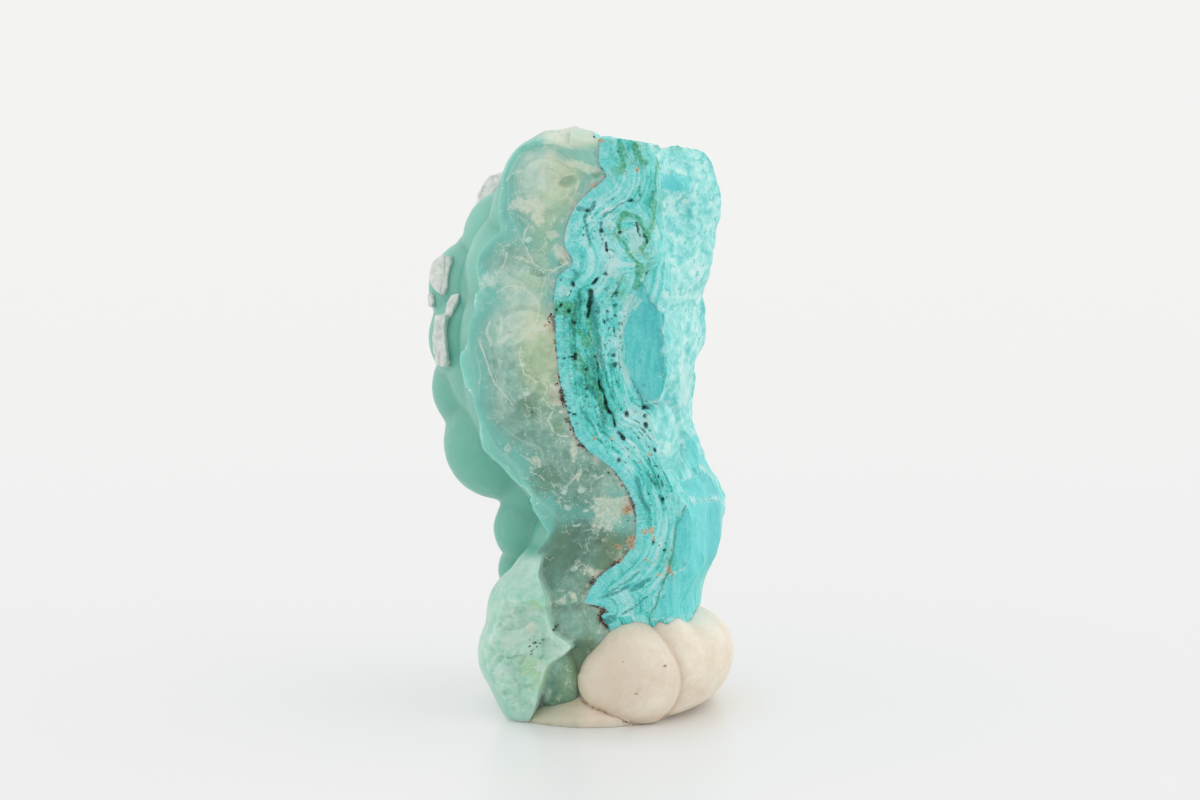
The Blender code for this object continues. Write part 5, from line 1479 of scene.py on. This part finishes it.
def putty_marks(putty):
    """Works out what the putty's material reads at each vertex."""
    points = points_of(putty)
    body, pad = lump_field(points)
    column, row = photo_place(points)
    # Painted shade in the folds where the pad meets the lumps.
    set_attribute(putty, "fold", np.exp(-np.abs(body - pad) / FOLD_SHADE_WIDTH))
    # Painted shade on the lower left of the pressed pad.
    set_attribute(putty, "pressed", in_spots(column, row, PAD_SHADE, 0.9) * (points[:, 1] < 4))
    # Painted shade with a painted green reflection of the crust, on the flange at the putty's left foot.
    set_attribute(putty, "flange_shade", step(-0.5, -3.2, points[:, 0]) * step(0.1, 0.6, pad))
    keep_marks(putty, ["stain"], column, row, points[:, 1] < 3)


def contact_grain_points():
    """Places for the dark grains, on the section along the contact."""
    dice = np.random.default_rng(GRAIN_SEED)
    z = dice.uniform(*GRAIN_HEIGHTS, GRAIN_TRIES)
    x = contact_x(np.zeros(len(z)), z) + dice.normal(*GRAIN_OFFSET, len(z)) - dice.exponential(GRAIN_TAIL, len(z))
    y, _ = section_y(x, z)
    points = places(x, y + GRAIN_SINK, z)
    _, row = photo_place(points)
    patch = np.clip(0.2 + 2.2 * grain(points, 0.9, 231), 0, 1)
    keep = dice.random(len(z)) < np.clip(grains_along(row), 0, 1.4) * patch * GRAIN_SHARE
    return points[keep]


def contact_grains(made):
    """Geometry Nodes put one small rough grain on each place along the contact."""
    cloud = new_object("contact_grains", contact_grain_points(), [])
    tree = bpy.data.node_groups.new("grains_on_contact", "GeometryNodeTree")
    tree.interface.new_socket("Geometry", in_out="INPUT", socket_type="NodeSocketGeometry")
    size = tree.interface.new_socket("Grain Size", in_out="INPUT", socket_type="NodeSocketFloat")
    finish = tree.interface.new_socket("Finish", in_out="INPUT", socket_type="NodeSocketMaterial")
    tree.interface.new_socket("Geometry", in_out="OUTPUT", socket_type="NodeSocketGeometry")
    given = add_node(tree, "NodeGroupInput", {}).outputs
    turn, scale = (add_node(tree, "FunctionNodeRandomValue", {0: low, 1: high, "Seed": seed},
                            data_type="FLOAT_VECTOR").outputs[0]
                   for low, high, seed in (((0, 0, 0), (6.3, 6.3, 6.3), 3), ((0.4, 0.4, 0.4), (1.5, 1.1, 1.3), 5)))
    grown = add_node(tree, "ShaderNodeVectorMath", {0: scale, "Scale": given["Grain Size"]}, operation="SCALE")
    ball = add_node(tree, "GeometryNodeMeshIcoSphere", {"Subdivisions": 1})
    placed = add_node(tree, "GeometryNodeInstanceOnPoints",
                      {"Points": given["Geometry"], "Instance": ball.outputs["Mesh"], "Rotation": turn,
                       "Scale": grown.outputs[0]})
    real = add_node(tree, "GeometryNodeRealizeInstances", {0: placed.outputs[0]})
    painted = add_node(tree, "GeometryNodeSetMaterial", {"Geometry": real.outputs[0], "Material": given["Finish"]})
    add_node(tree, "NodeGroupOutput", {0: painted.outputs[0]})
    grains = cloud.modifiers.new("grains", "NODES")
    grains.node_group = tree
    grains[size.identifier] = GRAIN_SIZE * MM
    grains[finish.identifier] = made
    settle(cloud)
    return cloud


def table_finish():
    """White card, lit by its own glow, painted a little dimmer towards the middle as painted shade, but for a soft
    oval shadow where the putty stands.
    """
    f = Finish("white_table", Roughness=0.28, Specular_IOR_Level=0.7)
    f.give("Base Color", (0.86, 0.86, 0.85))
    reach = f.length(f.place)
    (x, y), (wide, deep) = SHADOW_MIDDLE, SHADOW_HALF
    stood_on = f.add("Mapping", {"Vector": f.place, "Scale": (1 / (wide * MM), 1 / (deep * MM), 0),
                                 "Location": (-x / wide, -y / deep, 0)})
    beside = f.length(stood_on.outputs[0])
    lit = f.sum((f.span(beside, 0.95, 1.6), 0.5), (f.span(beside, 1.7, 4.0), 0.15),
                (f.span(reach, 0.08, 0.35), 0.35))
    # The glow is painted a little dimmer towards the middle, as painted shade round the stone.
    glow = f.add("Emission", {"Color": f.ramp(reach, [(0.05, (239, 240, 239)), (0.25, (242, 242, 241)),
                                                      (1.0, (243, 243, 242))])})
    f.surface(f.add("MixShader", {0: lit, 1: f.shader.outputs[0], 2: glow.outputs[0]}))
    return f.made


def backdrop_finish():
    """A white that glows evenly."""
    f = Finish("backdrop_glow")
    height = f.add("SeparateXYZ", {0: f.place}).outputs["Z"]
    f.surface(f.add("Emission", {"Color": f.ramp(height, [(0.0, (243, 243, 242)), (0.25, (244, 244, 243))])}))
    return f.made


def turned(name, rings, made, closed=False):
    """A round sheet through (radius, height) rings, open or closed inside the first of them."""
    shape = bmesh.new()
    turns = [2 * math.pi * i / ROUND_SIDES for i in range(ROUND_SIDES)]
    last = None
    for radius, height in rings:
        ring = [shape.verts.new((radius * math.cos(turn), radius * math.sin(turn), height)) for turn in turns]
        if last:
            for i in range(ROUND_SIDES):
                j = (i + 1) % ROUND_SIDES
                shape.faces.new((last[i], ring[i], ring[j], last[j]))
        elif closed:
            shape.faces.new(ring)
        last = ring
    thing = object_of(name, shape)
    thing.data.materials.append(made)
    return thing


def aimed(name, data, way, place=(0, 0, 0)):
    """A light or camera at a place, looking along a way."""
    thing = link_object(name, data)
    thing.location = place
    thing.rotation_mode = "QUATERNION"
    thing.rotation_quaternion = way.to_track_quat("-Z", "Y")
    return thing


def studio():
    """A white sweep, soft light from all round, and the photograph's camera."""
    scene = bpy.context.scene
    scene.view_settings.view_transform = "Standard"
    scene.world = bpy.data.worlds.new("studio")
    scene.world.use_nodes = True
    sky = scene.world.node_tree.nodes["Background"].inputs
    sky["Color"].default_value, sky["Strength"].default_value = (*SKY_COLOUR, 1), SKY_STRENGTH

    floor = turned("table", [(radius, 0.0) for radius in TABLE_RINGS], table_finish(), closed=True)
    wall = turned("backdrop", BACKDROP_RINGS, backdrop_finish())
    wall.visible_shadow = wall.visible_diffuse = False

    for name, strength, way in SUNS:
        light = bpy.data.lights.new(name, "SUN")
        light.energy, light.angle = strength, SUN_WIDTH
        aimed(name, light, Vector(way))

    data = bpy.data.cameras.new("camera")
    data.lens, data.sensor_width = LENS, FILM
    data.clip_start, data.clip_end = 0.01, 5
    eye, ahead = photo_ray(*PHOTO_MIDDLE)
    scene.camera = aimed("camera", data, ahead, (eye + ORIGIN) * MM)


def build():
    """Makes every piece and puts it on the frame."""
    blank = stone_blank()
    for cutter in (front_break(), *break_sheets()):
        cut(blank, cutter)
    crust = copy_of(blank, "smithsonite")
    cut(crust, contact_cutter("rock_side", 1))
    rock = copy_of(blank, "turquoise_rock")
    cut(rock, contact_cutter("crust_side", -1))
    putty = putty_lump(blank)
    bpy.data.objects.remove(blank)
    for stone in (crust, rock):
        largest_piece(stone)
        crisp_borders(stone)
    crust_marks(crust)
    rock_marks(rock)
    putty_marks(putty)
    tree = BVHTree.FromObject(crust, bpy.context.evaluated_depsgraph_get())
    white = white_finish()
    grains = contact_grains(grain_finish())
    dress(crust, crust_finish())
    dress(rock, rock_finish())
    dress(putty, putty_finish())
    pieces = [(crust, "smithsonite_crust", "crust"), (rock, "banded_matrix", "rock"),
              (putty, "putty_lump", "putty")]
    for number, size in enumerate(WHITE_CRYSTALS, start=1):
        crystal = white_crystal(f"crystal_{number}", tree, size, number)
        dress(crystal, white)
        pieces.append((crystal, f"white_crystal_{number}", "white_mineral"))
    for thing, node, slot in pieces:
        place_in_row(thing)
        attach(thing, "root")
        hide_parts(node)
    place_in_row(grains)
    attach(grains, "root")


build()
studio()
